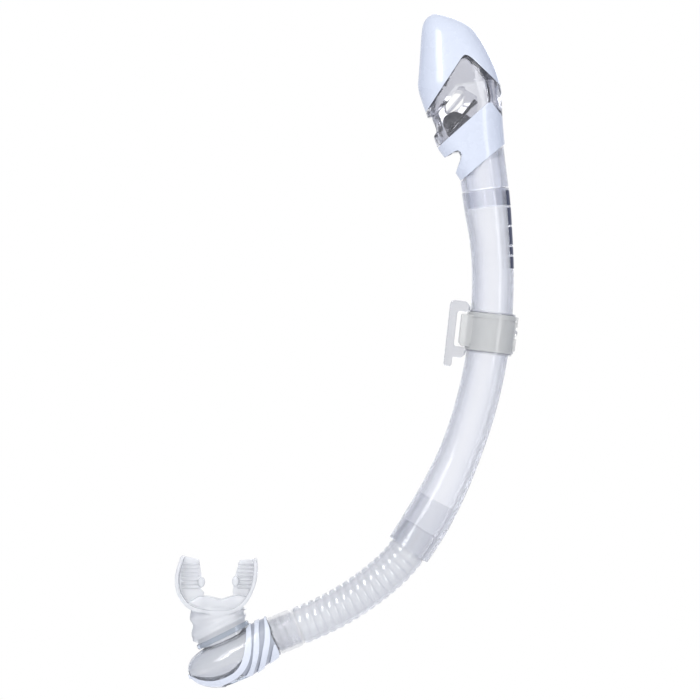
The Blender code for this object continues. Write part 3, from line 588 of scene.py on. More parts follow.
@dataclass(frozen=True)
class Recipe:
    """One finish: two tints, an edge tint painted as shade at the silhouettes (a painted sheen on the dark
    finishes), gloss, clearness and surface detail.
    """

    tint: tuple[float, float, float]
    drift: tuple[float, float, float]
    # Edge tint: painted shade at the silhouettes, lighter as a painted sheen on the rubber and ink.
    edge: tuple[float, float, float]
    roughness: float
    transmission: float = 0.0
    ior: float = 1.46
    coat: float = 0.0
    marks: float = 0.05
    wave: float = 0.05
    grain: float = 0.02
    grain_scale: float = 2500.0
    # How far in from the silhouette the painted edge shade reaches.
    edge_shade_reach: float = 0.35
    alpha: float = 1.0

    def build(self, name: str, effects: EffectLibrary) -> bpy.types.Material:
        """Make the material.

        Args:
            name: The material's name.
            effects: The shared node groups.

        Returns:
            The material.
        """
        material = bpy.data.materials.new(name)
        material.use_nodes = True
        tree = material.node_tree
        shader = tree.nodes["Principled BSDF"]
        shader.inputs["Transmission Weight"].default_value = self.transmission
        shader.inputs["IOR"].default_value = self.ior
        shader.inputs["Coat Weight"].default_value = self.coat
        shader.inputs["Alpha"].default_value = self.alpha
        shader.inputs["Coat Roughness"].default_value = 0.05
        self._link_colour(tree, shader, effects)
        self._link_roughness(tree, shader, effects)
        self._link_normal(tree, shader, effects)
        return material

    def _link_colour(
        self, tree: bpy.types.NodeTree, shader: bpy.types.Node, effects: EffectLibrary
    ) -> None:
        """Base colour: drifting tint, turning to the edge tint where the surface turns away from the
        camera; this paints shade onto the rims of pale finishes and a sheen onto dark ones.

        Args:
            tree: The material's nodes.
            shader: The node that is fed.
            effects: The shared node groups.
        """
        drift = tree.nodes.new("ShaderNodeGroup")
        drift.node_tree = effects.tint
        drift.inputs["Tint"].default_value = (*self.tint, 1.0)
        drift.inputs["Drift"].default_value = (*self.drift, 1.0)
        # Painted edge shade: the facing weight mixes the edge tint in where the surface turns from the
        # camera.
        edge_shade_facing = tree.nodes.new("ShaderNodeLayerWeight")
        edge_shade_facing.inputs["Blend"].default_value = self.edge_shade_reach
        mix = tree.nodes.new("ShaderNodeMix")
        mix.data_type = "RGBA"
        mix.inputs["B"].default_value = (*self.edge, 1.0)
        tree.links.new(edge_shade_facing.outputs["Facing"], mix.inputs["Factor"])
        tree.links.new(drift.outputs["Color"], mix.inputs["A"])
        tree.links.new(mix.outputs["Result"], shader.inputs["Base Color"])

    def _link_roughness(
        self, tree: bpy.types.NodeTree, shader: bpy.types.Node, effects: EffectLibrary
    ) -> None:
        """Roughness: its own value with handling marks added.

        Args:
            tree: The material's nodes.
            shader: The node that is fed.
            effects: The shared node groups.
        """
        marks = tree.nodes.new("ShaderNodeGroup")
        marks.node_tree = effects.handling
        marks.inputs["Amount"].default_value = self.marks
        add = tree.nodes.new("ShaderNodeMath")
        add.operation = "ADD"
        add.use_clamp = True
        add.inputs[1].default_value = self.roughness
        tree.links.new(marks.outputs["Value"], add.inputs[0])
        tree.links.new(add.outputs[0], shader.inputs["Roughness"])

    def _link_normal(
        self, tree: bpy.types.NodeTree, shader: bpy.types.Node, effects: EffectLibrary
    ) -> None:
        """Normal: moulding waves and grain.

        Args:
            tree: The material's nodes.
            shader: The node that is fed.
            effects: The shared node groups.
        """
        flow = tree.nodes.new("ShaderNodeGroup")
        flow.node_tree = effects.moulding
        flow.inputs["Wave Depth"].default_value = self.wave
        flow.inputs["Grain Depth"].default_value = self.grain
        flow.inputs["Grain Scale"].default_value = self.grain_scale
        tree.links.new(flow.outputs["Normal"], shader.inputs["Normal"])


# Each recipe's edge tint is painted shade at the silhouettes: darker than its tint on the pale finishes,
# lighter, as a painted sheen, on the rubber and ink.
RECIPES: dict[Finish, Recipe] = {
    Finish.CLEAR: Recipe(
        tint=(0.94, 0.943, 0.965),
        drift=(0.915, 0.92, 0.95),
        edge=(0.72, 0.74, 0.84),
        roughness=0.05, transmission=0.95, wave=0.015, grain=0.0, alpha=0.62,
    ),
    Finish.SOCKET: Recipe(
        tint=(0.93, 0.935, 0.97),
        drift=(0.9, 0.91, 0.955),
        edge=(0.64, 0.67, 0.83),
        roughness=0.05, transmission=0.94, marks=0.04, wave=0.015, alpha=0.7,
    ),
    Finish.FITTING: Recipe(
        tint=(0.7, 0.71, 0.76),
        drift=(0.66, 0.67, 0.72),
        edge=(0.5, 0.51, 0.58),
        roughness=0.15, transmission=0.0, coat=0.5, wave=0.1, alpha=0.14,
    ),
    Finish.CHAMBER: Recipe(
        tint=(0.9, 0.905, 0.92),
        drift=(0.83, 0.84, 0.86),
        edge=(0.66, 0.68, 0.73),
        roughness=0.07, transmission=0.94, marks=0.12, wave=0.3,
    ),
    Finish.SMOKE: Recipe(
        tint=(0.88, 0.88, 0.9),
        drift=(0.72, 0.72, 0.76),
        edge=(0.34, 0.34, 0.42),
        roughness=0.04, transmission=0.95, marks=0.06, wave=0.8,
    ),
    Finish.WHITE: Recipe(
        tint=(0.6, 0.635, 0.715),
        drift=(0.58, 0.62, 0.705),
        edge=(0.55, 0.59, 0.69),
        roughness=0.26, coat=0.45, marks=0.04,
    ),
    Finish.STRIPE: Recipe(
        tint=(0.69, 0.72, 0.785),
        drift=(0.67, 0.705, 0.775),
        edge=(0.64, 0.675, 0.76),
        roughness=0.26, coat=0.4, marks=0.04,
    ),
    # Painted shade: opaque grey standing for the darker look of the clear chamber between its stripes.
    Finish.SHADE_BACKING: Recipe(
        tint=(0.4, 0.42, 0.47),
        drift=(0.35, 0.37, 0.42),
        edge=(0.32, 0.34, 0.4),
        roughness=0.25, coat=0.3,
    ),
    Finish.HOOK: Recipe(
        tint=(0.8, 0.8, 0.815),
        drift=(0.72, 0.72, 0.735),
        edge=(0.42, 0.42, 0.45),
        roughness=0.1, transmission=0.88, marks=0.1, wave=0.4,
    ),
    Finish.BAND: Recipe(
        tint=(0.74, 0.74, 0.72),
        drift=(0.64, 0.645, 0.63),
        edge=(0.6, 0.6, 0.58),
        roughness=0.2, transmission=0.1, ior=1.4, coat=0.8, wave=0.9, alpha=0.58,
    ),
    Finish.HOSE: Recipe(
        tint=(0.93, 0.935, 0.945),
        drift=(0.89, 0.895, 0.91),
        edge=(0.76, 0.77, 0.8),
        roughness=0.13, transmission=0.74, ior=1.33, coat=1.0, wave=0.05,
    ),
    Finish.CUFF: Recipe(
        tint=(0.8, 0.805, 0.83),
        drift=(0.7, 0.705, 0.73),
        edge=(0.6, 0.61, 0.65),
        roughness=0.16, transmission=0.1, ior=1.36, coat=0.8, wave=0.2, alpha=0.3,
    ),
    Finish.MOUTH: Recipe(
        tint=(0.9, 0.905, 0.915),
        drift=(0.86, 0.865, 0.875),
        edge=(0.7, 0.71, 0.74),
        roughness=0.34, transmission=0.52, ior=1.28, coat=0.7, wave=0.05,
    ),
    Finish.TIE: Recipe(
        tint=(0.86, 0.9, 0.95),
        drift=(0.8, 0.85, 0.92),
        edge=(0.62, 0.68, 0.78),
        roughness=0.1, transmission=0.88, wave=0.1,
    ),
    Finish.RUBBER: Recipe(
        tint=(0.012, 0.013, 0.018),
        drift=(0.02, 0.02, 0.026),
        edge=(0.04, 0.04, 0.05),
        roughness=0.42, grain=0.15,
    ),
    Finish.FOAM: Recipe(
        tint=(0.13, 0.13, 0.15),
        drift=(0.08, 0.08, 0.1),
        edge=(0.12, 0.12, 0.14),
        roughness=0.5, grain=0.5, grain_scale=1200.0,
    ),
    Finish.INK: Recipe(
        tint=(0.022, 0.028, 0.06),
        drift=(0.035, 0.042, 0.08),
        edge=(0.06, 0.07, 0.12),
        roughness=0.35, marks=0.1,
    ),
}


@dataclass
class Dresser:
    """Gives pieces their finish, shading and body, and hides the CAD nodes that they replace."""

    effects: EffectLibrary
    made: dict[Finish, bpy.types.Material] = field(default_factory=dict)

    def material(self, finish: Finish) -> bpy.types.Material:
        """The finish's material, built on first use."""
        if finish not in self.made:
            self.made[finish] = RECIPES[finish].build(finish.value, self.effects)
        return self.made[finish]

    def dress(
        self,
        obj: bpy.types.Object,
        finish: Finish,
        node: str,
        body: str | None,
        replaces: bool = True,
    ) -> None:
        """Finish one piece and tie it to its CAD body.

        Args:
            obj: The piece.
            finish: Its finish.
            node: The CAD node that it stands for, hidden when it replaces it.
            body: The body it rides on, or None where it bends between two.
            replaces: Whether it stands for that node.
        """
        obj.data.materials.clear()
        obj.data.materials.append(self.material(finish))
        obj.data.polygons.foreach_set("material_index", [0] * len(obj.data.polygons))
        obj.data.polygons.foreach_set("use_smooth", [True] * len(obj.data.polygons))
        obj.data.set_sharp_from_angle(angle=math.radians(32.0))
        if body is not None:
            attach(obj, body)
        if replaces:
            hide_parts(node)
        LOG.info("built %s for %s with %s, %d faces", obj.name, node, finish.value, len(obj.data.polygons))


# ---------------------------------------------------------------------------
# Where things are
# ---------------------------------------------------------------------------


@dataclass
class Layout:
    """Frames of the snorkel's parts, from the record's joints."""

    joints: dict[str, dict]
    top_lean: float = 7.0
    top_straight: float = 21.6
    barrel_end_lean: float = -35.0
    hose_bend_1: float = 82.0
    hose_lean_1: float = -48.0
    hose_bend_2: float = 180.0
    hose_lean_2: float = -67.5
    hose_straight: float = 23.8

    def point(self, joint: str) -> Vector:
        """A joint's place, in millimetres."""
        return Vector(self.joints[joint]["pos_m"]) / MM

    @property
    def bend_centre(self) -> Vector:
        """Centre of the barrel's bend."""
        return self.point("keeper_slide")

    @property
    def bend_radius(self) -> float:
        """Radius of the barrel's bend."""
        return (self.point("keeper_swivel") - self.bend_centre).length

    @property
    def barrel_length(self) -> float:
        """Length of the barrel's centre line."""
        return self.top_straight + self.bend_radius * math.radians(self.top_lean - self.barrel_end_lean)

    @property
    def runs(self) -> list[tuple[float, float | None]]:
        """Length and bend radius of each run of the tube, from the top down."""
        return [
            (self.top_straight, None),
            (self.bend_radius * math.radians(self.top_lean - self.barrel_end_lean), self.bend_radius),
            (self.hose_bend_1 * math.radians(self.barrel_end_lean - self.hose_lean_1), self.hose_bend_1),
            (self.hose_bend_2 * math.radians(self.hose_lean_1 - self.hose_lean_2), self.hose_bend_2),
            (self.hose_straight, None),
        ]

    def tube(self, distance: float) -> Matrix:
        """Frame on the tube's centre line, this far below the barrel's top end."""
        lean = self.top_lean
        point = self.bend_centre + right_of(lean) * self.bend_radius + up_of(lean) * self.top_straight
        for length, radius in self.runs:
            run = min(distance, length)
            if radius is None:
                point = point - up_of(lean) * run
            else:
                centre = point - right_of(lean) * radius
                lean -= math.degrees(run / radius)
                point = centre + right_of(lean) * radius
            distance -= run
            if distance <= 0.0:
                break
        return lean_frame(point.x, point.z, lean)

    @property
    def top(self) -> Matrix:
        """Frame of the dry top, at the barrel's top end."""
        return self.tube(0.0)

    @property
    def keeper(self) -> Matrix:
        """Frame of the keeper, on the barrel's centre line."""
        point = self.point("keeper_swivel")
        axis = self.joints["keeper_swivel"]["axis"]
        return lean_frame(point.x, point.z, math.degrees(math.atan2(-axis[0], axis[2])))

    @property
    def hose_end(self) -> Matrix:
        """Frame at the hose's lower end, Z up along the hose."""
        point = self.point("mouth_swivel")
        axis = self.joints["mouth_swivel"]["axis"]
        return lean_frame(point.x, point.z, math.degrees(math.atan2(-axis[0], axis[2])))

    @property
    def purge(self) -> Matrix:
        """Frame of the purge chamber: X up the hose, Z out of the port."""
        return self.hose_end @ Matrix.Rotation(math.radians(-90.0), 4, "Y")


# ---------------------------------------------------------------------------
# Dry top
# ---------------------------------------------------------------------------


@dataclass
class DryTop:
    """Cap, housing, skirt, socket, seat ring and float at the tube's head."""

    layout: Layout
    dresser: Dresser
    sections: tuple[Row, ...] = (
        (6.0, -14.0, 15.6, 15.0, 2.0), (13.0, -17.5, 15.7, 15.6, 2.0), (23.5, -23.3, 15.8, 16.6, 2.1),
        (30.4, -27.0, 16.0, 17.3, 2.2), (39.0, -28.9, 16.3, 18.2, 2.3), (50.0, -30.9, 17.0, 19.2, 2.4),
        (60.0, -33.2, 17.9, 19.8, 2.4), (70.0, -34.7, 17.2, 19.8, 2.4), (80.0, -33.0, 14.9, 18.6, 2.4),
        (90.0, -31.1, 11.4, 16.6, 2.4), (98.0, -29.6, 7.8, 14.4, 2.3), (105.0, -28.1, 3.4, 11.6, 2.2),
        (110.0, -26.6, -3.2, 8.6, 2.1), (114.0, -23.4, -11.6, 5.0, 2.0), (115.6, -20.4, -15.8, 2.0, 2.0),
    )
    cap_wall: float = 2.3
    skirt_wall: float = 2.2
    housing_inset: float = 2.6
    housing_wall: float = 1.6
    cap_vee: Outline = (
        (-50.0, 32.2), (-5.6, 84.6), (-4.3, 85.9), (-2.9, 86.6), (-1.5, 86.3), (-0.2, 85.4), (1.4, 83.9),
        (40.0, 38.4), (40.0, 0.0), (-50.0, 0.0),
    )
    skirt: Outline = (
        (-34.0, 25.6), (7.4, 54.0), (8.7, 54.6), (9.9, 54.5), (11.0, 53.6), (20.0, 39.5), (20.0, 30.4),
        (-22.0, 3.1),
        (-20.0, 8.1), (-13.2, 21.6), (-12.6, 23.8), (-13.2, 25.8), (-14.8, 26.8), (-17.0, 26.4),
        (-34.0, 19.0),
    )
    belt: Outline = (
        (-36.0, 24.9), (9.4, 55.6), (20.0, 40.5), (20.0, 61.2), (-0.3, 84.9), (-2.9, 86.0), (-4.9, 84.7),
        (-32.0, 52.7), (-31.0, 50.2), (-27.0, 50.5), (-26.3, 47.0), (-26.3, 40.6), (-29.8, 36.4),
        (-36.0, 31.0),
    )
    plenum: Outline = ((-36.0, 41.6), (-10.6, 68.8), (16.0, 68.8), (16.0, 96.0), (-36.0, 96.0))
    chamber: Outline = (
        (-36.0, 38.4), (-9.0, 67.3), (-5.5, 67.0), (-5.5, 65.0), (1.0, 59.5), (1.0, 55.5),
        (-1.0, 43.5), (-11.5, 32.0), (-36.0, 32.0),
    )
    window: Outline = (
        (-18.9, 56.6), (-15.6, 60.6), (-11.4, 64.4), (-8.6, 64.2), (-6.6, 62.0), (-6.6, 59.4),
        (-11.4, 53.0), (-18.4, 51.2),
    )
    ribs: tuple[Outline, ...] = (
        ((-24.5, 44.5), (-3.6, 63.4), (2.4, 67.8), (1.6, 69.2), (-4.8, 65.0), (-25.5, 46.2)),
        ((-4.8, 84.0), (-5.6, 74.0), (-3.6, 66.0), (-2.2, 66.4), (-3.9, 74.0), (-3.0, 84.0)),
        ((-24.0, 59.0), (-18.0, 66.4), (-6.6, 79.0), (-7.9, 80.2), (-19.4, 67.6), (-25.3, 60.2)),
    )
    duct: tuple[Row, ...] = (
        (20.0, 0.0, 11.0, 11.0), (32.0, 0.9, 10.8, 10.9), (44.0, 6.6, 5.9, 9.4), (56.0, 9.5, 3.9, 8.5),
        (72.0, 9.3, 4.2, 8.0),
    )
    intake: Outline = ((-40.0, 37.5), (-20.0, 37.5), (-20.0, 46.0), (-40.0, 46.0))
    float_origin: tuple[float, float] = (1.6, 60.2)
    plate_half: float = 9.8
    dome_radius: float = 5.8
    float_lean: float = 47.0
    dome_x: float = -19.2

    @property
    def seat_frame(self) -> Matrix:
        """Frame of the valve: Z is the way the float rises."""
        return self.float_frame @ Matrix.Translation((self.dome_x, 0.0, 0.0))

    @property
    def float_frame(self) -> Matrix:
        """Frame of the float's plate."""
        return self.layout.top @ lean_frame(self.float_origin[0], self.float_origin[1], self.float_lean)

    def form(self, name: str, inset: float, low: float, high: float) -> bpy.types.Object:
        """Solid between two heights of the dry top's form.

        Args:
            name: The object's name.
            inset: How far the form is drawn in.
            low: Lowest height taken.
            high: Highest height taken.

        Returns:
            The closed solid.
        """
        rings = []
        for height, left, right, depth, power in smooth_rows(self.sections, 8):
            half = (right - left) / 2.0 - inset
            if low <= height <= high and half > 0.4 and depth - inset > 0.4:
                middle = (left + right) / 2.0
                rings.append(ring(self.layout.top, height, half, depth - inset, middle, power))
        return loft(name, rings)

    def build_cap(self) -> None:
        """White pointed cap with a vee-shaped lower edge."""
        cap = self.form("top_cap_shell", 0.0, 42.0, 116.0)
        combine(cap, self.form("cap_room", self.cap_wall, 36.0, 113.0), Operation.CUT)
        combine(cap, prism("cap_vee", self.layout.top, self.cap_vee, 40.0), Operation.CUT)
        round_edges(cap, 0.5)
        self.dresser.dress(cap, Finish.WHITE, "top_cap", "barrel")

    def build_skirt(self) -> None:
        """White collar with its water notch."""
        skirt = self.form("splash_skirt_shell", 0.0, 5.0, 62.0)
        room = self.form("skirt_room", self.skirt_wall, 5.0, 66.0)
        combine(skirt, rod("skirt_mouth", self.layout.top, 13.3, -4.0, 20.0), Operation.CUT)
        combine(skirt, room, Operation.CUT)
        combine(skirt, prism("skirt_outline", self.layout.top, self.skirt, 40.0), Operation.KEEP)
        round_edges(skirt, 0.5)
        self.dresser.dress(skirt, Finish.WHITE, "splash_skirt", "barrel")

    def build_housing(self) -> None:
        """Smoke housing with its duct, float chamber, windows and ribs."""
        top = self.layout.top
        housing = self.form("valve_housing_shell", self.housing_inset, 26.0, 91.0)
        belt = self.form("housing_belt", 0.02, 20.0, 92.0)
        combine(belt, prism("belt_outline", top, self.belt, 40.0), Operation.KEEP)
        combine(housing, belt, Operation.JOIN)
        inset = self.housing_inset + self.housing_wall
        for name, outline, half in (("plenum", self.plenum, 40.0), ("chamber", self.chamber, 10.5)):
            room = self.form(name + "_room", inset, 22.0, 98.0)
            combine(room, prism(name + "_outline", top, outline, half), Operation.KEEP)
            combine(housing, room, Operation.CUT)
        duct = [ring(top, z, half, depth, x, count=64) for z, x, half, depth in smooth_rows(self.duct, 6)]
        combine(housing, loft("duct_room", duct), Operation.CUT)
        combine(housing, prism("intake", top, self.intake, 5.0), Operation.CUT)
        combine(housing, prism("window", top, smooth_outline(self.window, 5), 40.0), Operation.CUT)
        combine(housing, rod("seat_hole", self.seat_frame, 7.1, 9.6, 17.6), Operation.CUT)
        for outline in self.ribs:
            rib = self.form("rib", self.housing_inset - 0.7, 30.0, 88.0)
            combine(rib, self.form("rib_inside", self.housing_inset + 0.8, 28.0, 92.0), Operation.CUT)
            combine(rib, prism("rib_outline", top, outline, 40.0), Operation.KEEP)
            combine(housing, rib, Operation.JOIN)
        self.dresser.dress(housing, Finish.SMOKE, "valve_housing", "barrel")

    def build_socket(self) -> None:
        """Clear coupling, its sleeve cut along the skirt's lower edge."""
        top = self.layout.top
        profile = [(11.0, -11.0), (12.5, -10.6), (12.5, 0.2), (13.0, 0.3), (13.0, 25.6), (11.0, 25.6)]
        socket = revolve("top_socket_shell", top, profile)
        outer = [(12.2, 0.3), (14.7, 0.3), (15.0, 0.7), (15.0, 34.0), (12.2, 34.0)]
        sleeve = revolve("socket_sleeve", top, outer)
        trim = ((-24.0, 1.3), (22.0, 31.2), (22.0, 60.0), (-40.0, 60.0), (-40.0, 1.3))
        combine(sleeve, prism("sleeve_trim", top, trim, 40.0), Operation.CUT)
        combine(socket, sleeve, Operation.JOIN)
        round_edges(socket, 0.25)
        self.dresser.dress(socket, Finish.SOCKET, "top_socket", "barrel")

    def build_seat(self) -> None:
        """Ring that the dome closes."""
        profile = [(5.0, 13.0), (5.4, 12.6), (6.8, 12.6), (6.8, 14.6), (5.4, 14.6), (5.0, 14.2)]
        seat = revolve("valve_seat_ring", self.seat_frame, profile)
        self.dresser.dress(seat, Finish.SMOKE, "valve_seat", "barrel")

    def taper(self, obj: bpy.types.Object) -> None:
        """Narrow a float piece towards its low tip."""
        for side in (-1.0, 1.0):
            flat = self.float_frame @ Matrix.Rotation(math.radians(90.0 * side), 4, "X")
            corner = ((-28.0, 4.0), (-22.0, 9.8), (-22.0, 20.0), (-28.0, 20.0))
            combine(obj, prism("taper", flat, corner, 14.0), Operation.CUT)

    def build_float(self) -> None:
        """Plate, foam block and rubber dome of the float."""
        frame = self.float_frame
        flat = ((-27.0, -0.7), (-3.0, -0.7), (-3.0, 0.7), (-27.0, 0.7))
        plate = prism("float_arm_plate", frame, flat, self.plate_half)
        self.taper(plate)
        round_edges(plate, 0.35)
        self.dresser.dress(plate, Finish.RUBBER, "float_arm", "float")
        outline = ((-25.5, -9.0), (-15.0, -9.0), (-13.5, -7.5), (-13.5, -1.0), (-27.0, -1.0), (-27.0, -7.5))
        block = prism("float_foam", frame, outline, self.plate_half)
        self.taper(block)
        round_edges(block, 0.8)
        self.dresser.dress(block, Finish.FOAM, "float_block", "float")
        rings = []
        for index in range(17):
            turn = math.radians(88.0) * index / 16.0
            radius = self.dome_radius * math.cos(turn)
            rings.append(ring(self.seat_frame, 0.8 + 6.2 * math.sin(turn), radius, radius, count=64))
        dome = loft("valve_dome_rubber", rings)
        self.dresser.dress(dome, Finish.RUBBER, "valve_dome", "float")

    def build(self) -> None:
        """Build the whole dry top."""
        self.build_cap()
        self.build_skirt()
        self.build_housing()
        self.build_socket()
        self.build_seat()
        self.build_float()


# ---------------------------------------------------------------------------
# Barrel and hose
# ---------------------------------------------------------------------------


@dataclass
class Barrel:
    """Curved clear tube with its marks and the hose connector inside."""

    layout: Layout
    dresser: Dresser
    wall: float = 2.0
    profile: tuple[Row, ...] = (
        (0.0, 15.1), (8.0, 14.95), (16.0, 14.65), (26.0, 14.0), (38.0, 13.55), (50.0, 13.42),
        (75.0, 13.42), (110.0, 13.42),
        (150.0, 13.42), (172.0, 13.46), (187.0, 13.95), (205.0, 14.5), (220.0, 14.9), (232.0, 14.8),
        (241.5, 14.75),
    )
    bars: tuple[tuple[float, float], ...] = ((2.0, 11.6), (13.0, 24.0), (25.4, 36.2), (37.6, 42.4),
        (43.6, 50.8))

    def radius(self, distance: float) -> float:
        """Outer radius this far below the top end."""
        rows = np.array(self.profile)
        return float(np.interp(distance, rows[:, 0], rows[:, 1]))

    def build_tube(self) -> None:
        """The tube with rounded rims."""
        dense = np.array(smooth_rows(self.profile, 12))
        length = self.layout.barrel_length
        stations = np.linspace(0.0, length, 201)
        rows = list(zip(stations, np.interp(stations * dense[-1][0] / length, dense[:, 0], dense[:, 1])))
        outer = [ring(self.layout.tube(s), 0.0, r, r, count=FINE) for s, r in rows[1:-1]]
        inner = [
            ring(self.layout.tube(s), 0.0, r - self.wall, r - self.wall, count=FINE)
            for s, r in rows[-2:0:-1]
        ]
        last = rows[-1][1]
        rim = fillet((last, -0.5), (last - self.wall, -0.5), 0.5)
        foot = [ring(self.layout.tube(length), -z, r, r, count=FINE) for r, z in rim]
        first = rows[0][1]
        rim = fillet((first - self.wall, -0.5), (first, -0.5), 0.5)
        head = [ring(self.layout.top, z, r, r, count=FINE) for r, z in rim]
        tube = loft("barrel_tube", outer + foot + inner + head, looped=True)
        self.dresser.dress(tube, Finish.CLEAR, "barrel", "barrel")

    def build_bars(self) -> None:
        """Plain printed bars along the tube's outer side."""
        steps = 10
        turns = np.radians(np.linspace(-34.0, 20.0, 17))
        flat = np.zeros(turns.size)
        for index, (low, high) in enumerate(self.bars):
            verts = []
            for lift in (0.03, 0.09):
                for step in range(steps + 1):
                    distance = low + (high - low) * step / steps
                    frame = np.array(self.layout.tube(distance))
                    reach = self.radius(distance) + lift
                    local = np.column_stack((reach * np.cos(turns), reach * np.sin(turns), flat,
                        flat + 1.0))
                    verts.append((local @ frame.T)[:, :3])
            bar = self._patch("barrel_bar_%d" % index, verts, steps + 1)
            self.dresser.dress(bar, Finish.INK, "barrel", "barrel", replaces=False)

    @staticmethod
    def _patch(name: str, rows: list[np.ndarray], per_layer: int) -> bpy.types.Object:
        """Thin closed patch from two layers of point rows.

        Args:
            name: The object's name.
            rows: The rows of the lower layer, then those of the upper one.
            per_layer: Number of rows in a layer.

        Returns:
            The closed patch.
        """
        width = len(rows[0])
        base = per_layer * width
        faces: list[Sequence[int]] = []
        for row in range(per_layer - 1):
            for column in range(width - 1):
                a = row * width + column
                faces.append((a, a + 1, a + width + 1, a + width))
                faces.append((base + a, base + a + width, base + a + width + 1, base + a + 1))
        rim = [column for column in range(width)]
        rim += [row * width + width - 1 for row in range(1, per_layer)]
        rim += [(per_layer - 1) * width + column for column in range(width - 2, -1, -1)]
        rim += [row * width for row in range(per_layer - 2, 0, -1)]
        for index, a in enumerate(rim):
            b = rim[(index + 1) % len(rim)]
            faces.append((a, b, base + b, base + a))
        return new_object(name, np.vstack(rows), faces)

    def build_connector(self) -> None:
        """Thin sleeve above the hose's plug."""
        low = self.layout.barrel_length - 36.0
        high = self.layout.barrel_length - 16.3
        stations = np.linspace(low, high, 12)
        outer = [ring(self.layout.tube(s), 0.0, 12.15, 12.15) for s in stations]
        inner = [ring(self.layout.tube(s), 0.0, 11.0, 11.0) for s in stations[::-1]]
        sleeve = loft("hose_connector_sleeve", outer + inner, looped=True)
        round_edges(sleeve, 0.25)
        self.dresser.dress(sleeve, Finish.FITTING, "hose_connector", "barrel")

    def build(self) -> None:
        """Build the tube and what is on it."""
        self.build_tube()
        self.build_bars()
        self.build_connector()


@dataclass
class Hose:
    """Corrugated hose, curved along the tube's path, and its rigid cuff."""

    layout: Layout
    dresser: Dresser
    ridges: int = 16
    pitch: float = 5.35
    crest: float = 12.3
    groove: float = 11.5
    bore: float = 9.8
    plug_radius: float = 12.4
    plug_length: float = 16.0
    cuff_radius: float = 12.6

    def profile(self) -> list[tuple[float, float]]:
        """Distance and outer radius pairs down the hose."""
        start = self.layout.barrel_length
        top = start - self.plug_length
        rows = [(top, self.plug_radius - 0.5), (top + 0.5, self.plug_radius)]
        rows += [(start - s, self.plug_radius) for s in (12.0, 8.0, 4.0)]
        rows.append((start + 0.2, self.plug_radius))
        per_ridge = 16
        for index in range(self.ridges * per_ridge):
            phase = index / per_ridge
            wave = 0.5 - 0.5 * math.cos(math.tau * phase)
            swell = wave**0.4
            radius = self.groove + (self.crest - self.groove) * swell
            rows.append((start + 0.6 + phase * self.pitch, radius))
        rows.append((start + 0.6 + self.ridges * self.pitch, self.groove))
        return rows

    def build_hose(self) -> None:
        """The corrugated length, curved between the barrel and the cuff."""
        rows = self.profile()
        outer = [ring(self.layout.tube(s), 0.0, r, r) for s, r in rows]
        inner = []
        for s, r in rows[::-1]:
            wave = max(r - self.groove, 0.0) * 0.7 if s > self.layout.barrel_length else 0.9
            inner.append(ring(self.layout.tube(s), 0.0, self.bore + wave, self.bore + wave))
        hose = loft("flex_hose_silicone", outer + inner, looped=True)
        self.dresser.dress(hose, Finish.HOSE, "flex_hose", None)
        start = self.layout.tube(self.layout.barrel_length).translation * MM
        end = self.layout.tube(self.layout.barrel_length + 0.6 + self.ridges * self.pitch).translation * MM
        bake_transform(hose)

    def build_cuff(self) -> None:
        """Smooth cuff with a rolled rim and two shallow beads."""
        last_ridge = self.layout.tube(self.layout.barrel_length + self.ridges * self.pitch)
        length = (self.layout.hose_end.translation - last_ridge.translation).length
        r = self.cuff_radius
        top = length - 0.9
        profile = [(10.8, 0.4), (r - 0.5, 0.4), (r, 0.9), (r, 2.6)]
        profile += [(r - 0.35, 3.2), (r - 0.35, 3.8), (r, 4.4)]
        profile += [(r, top - 3.4), (r - 0.3, top - 2.4), (r - 1.1, top - 1.2), (self.groove, top)]
        profile += [(self.bore + 0.1, top), (self.bore + 0.1, 16.0), (10.8, 15.6)]
        cuff = revolve("hose_cuff_silicone", self.layout.hose_end, profile)
        round_edges(cuff, 0.3)
        self.dresser.dress(cuff, Finish.CUFF, "hose_cuff", "hose_end")

    def build(self) -> None:
        """Build the hose and its cuff."""
        self.build_hose()
        self.build_cuff()


# ---------------------------------------------------------------------------
# Keeper
# ---------------------------------------------------------------------------


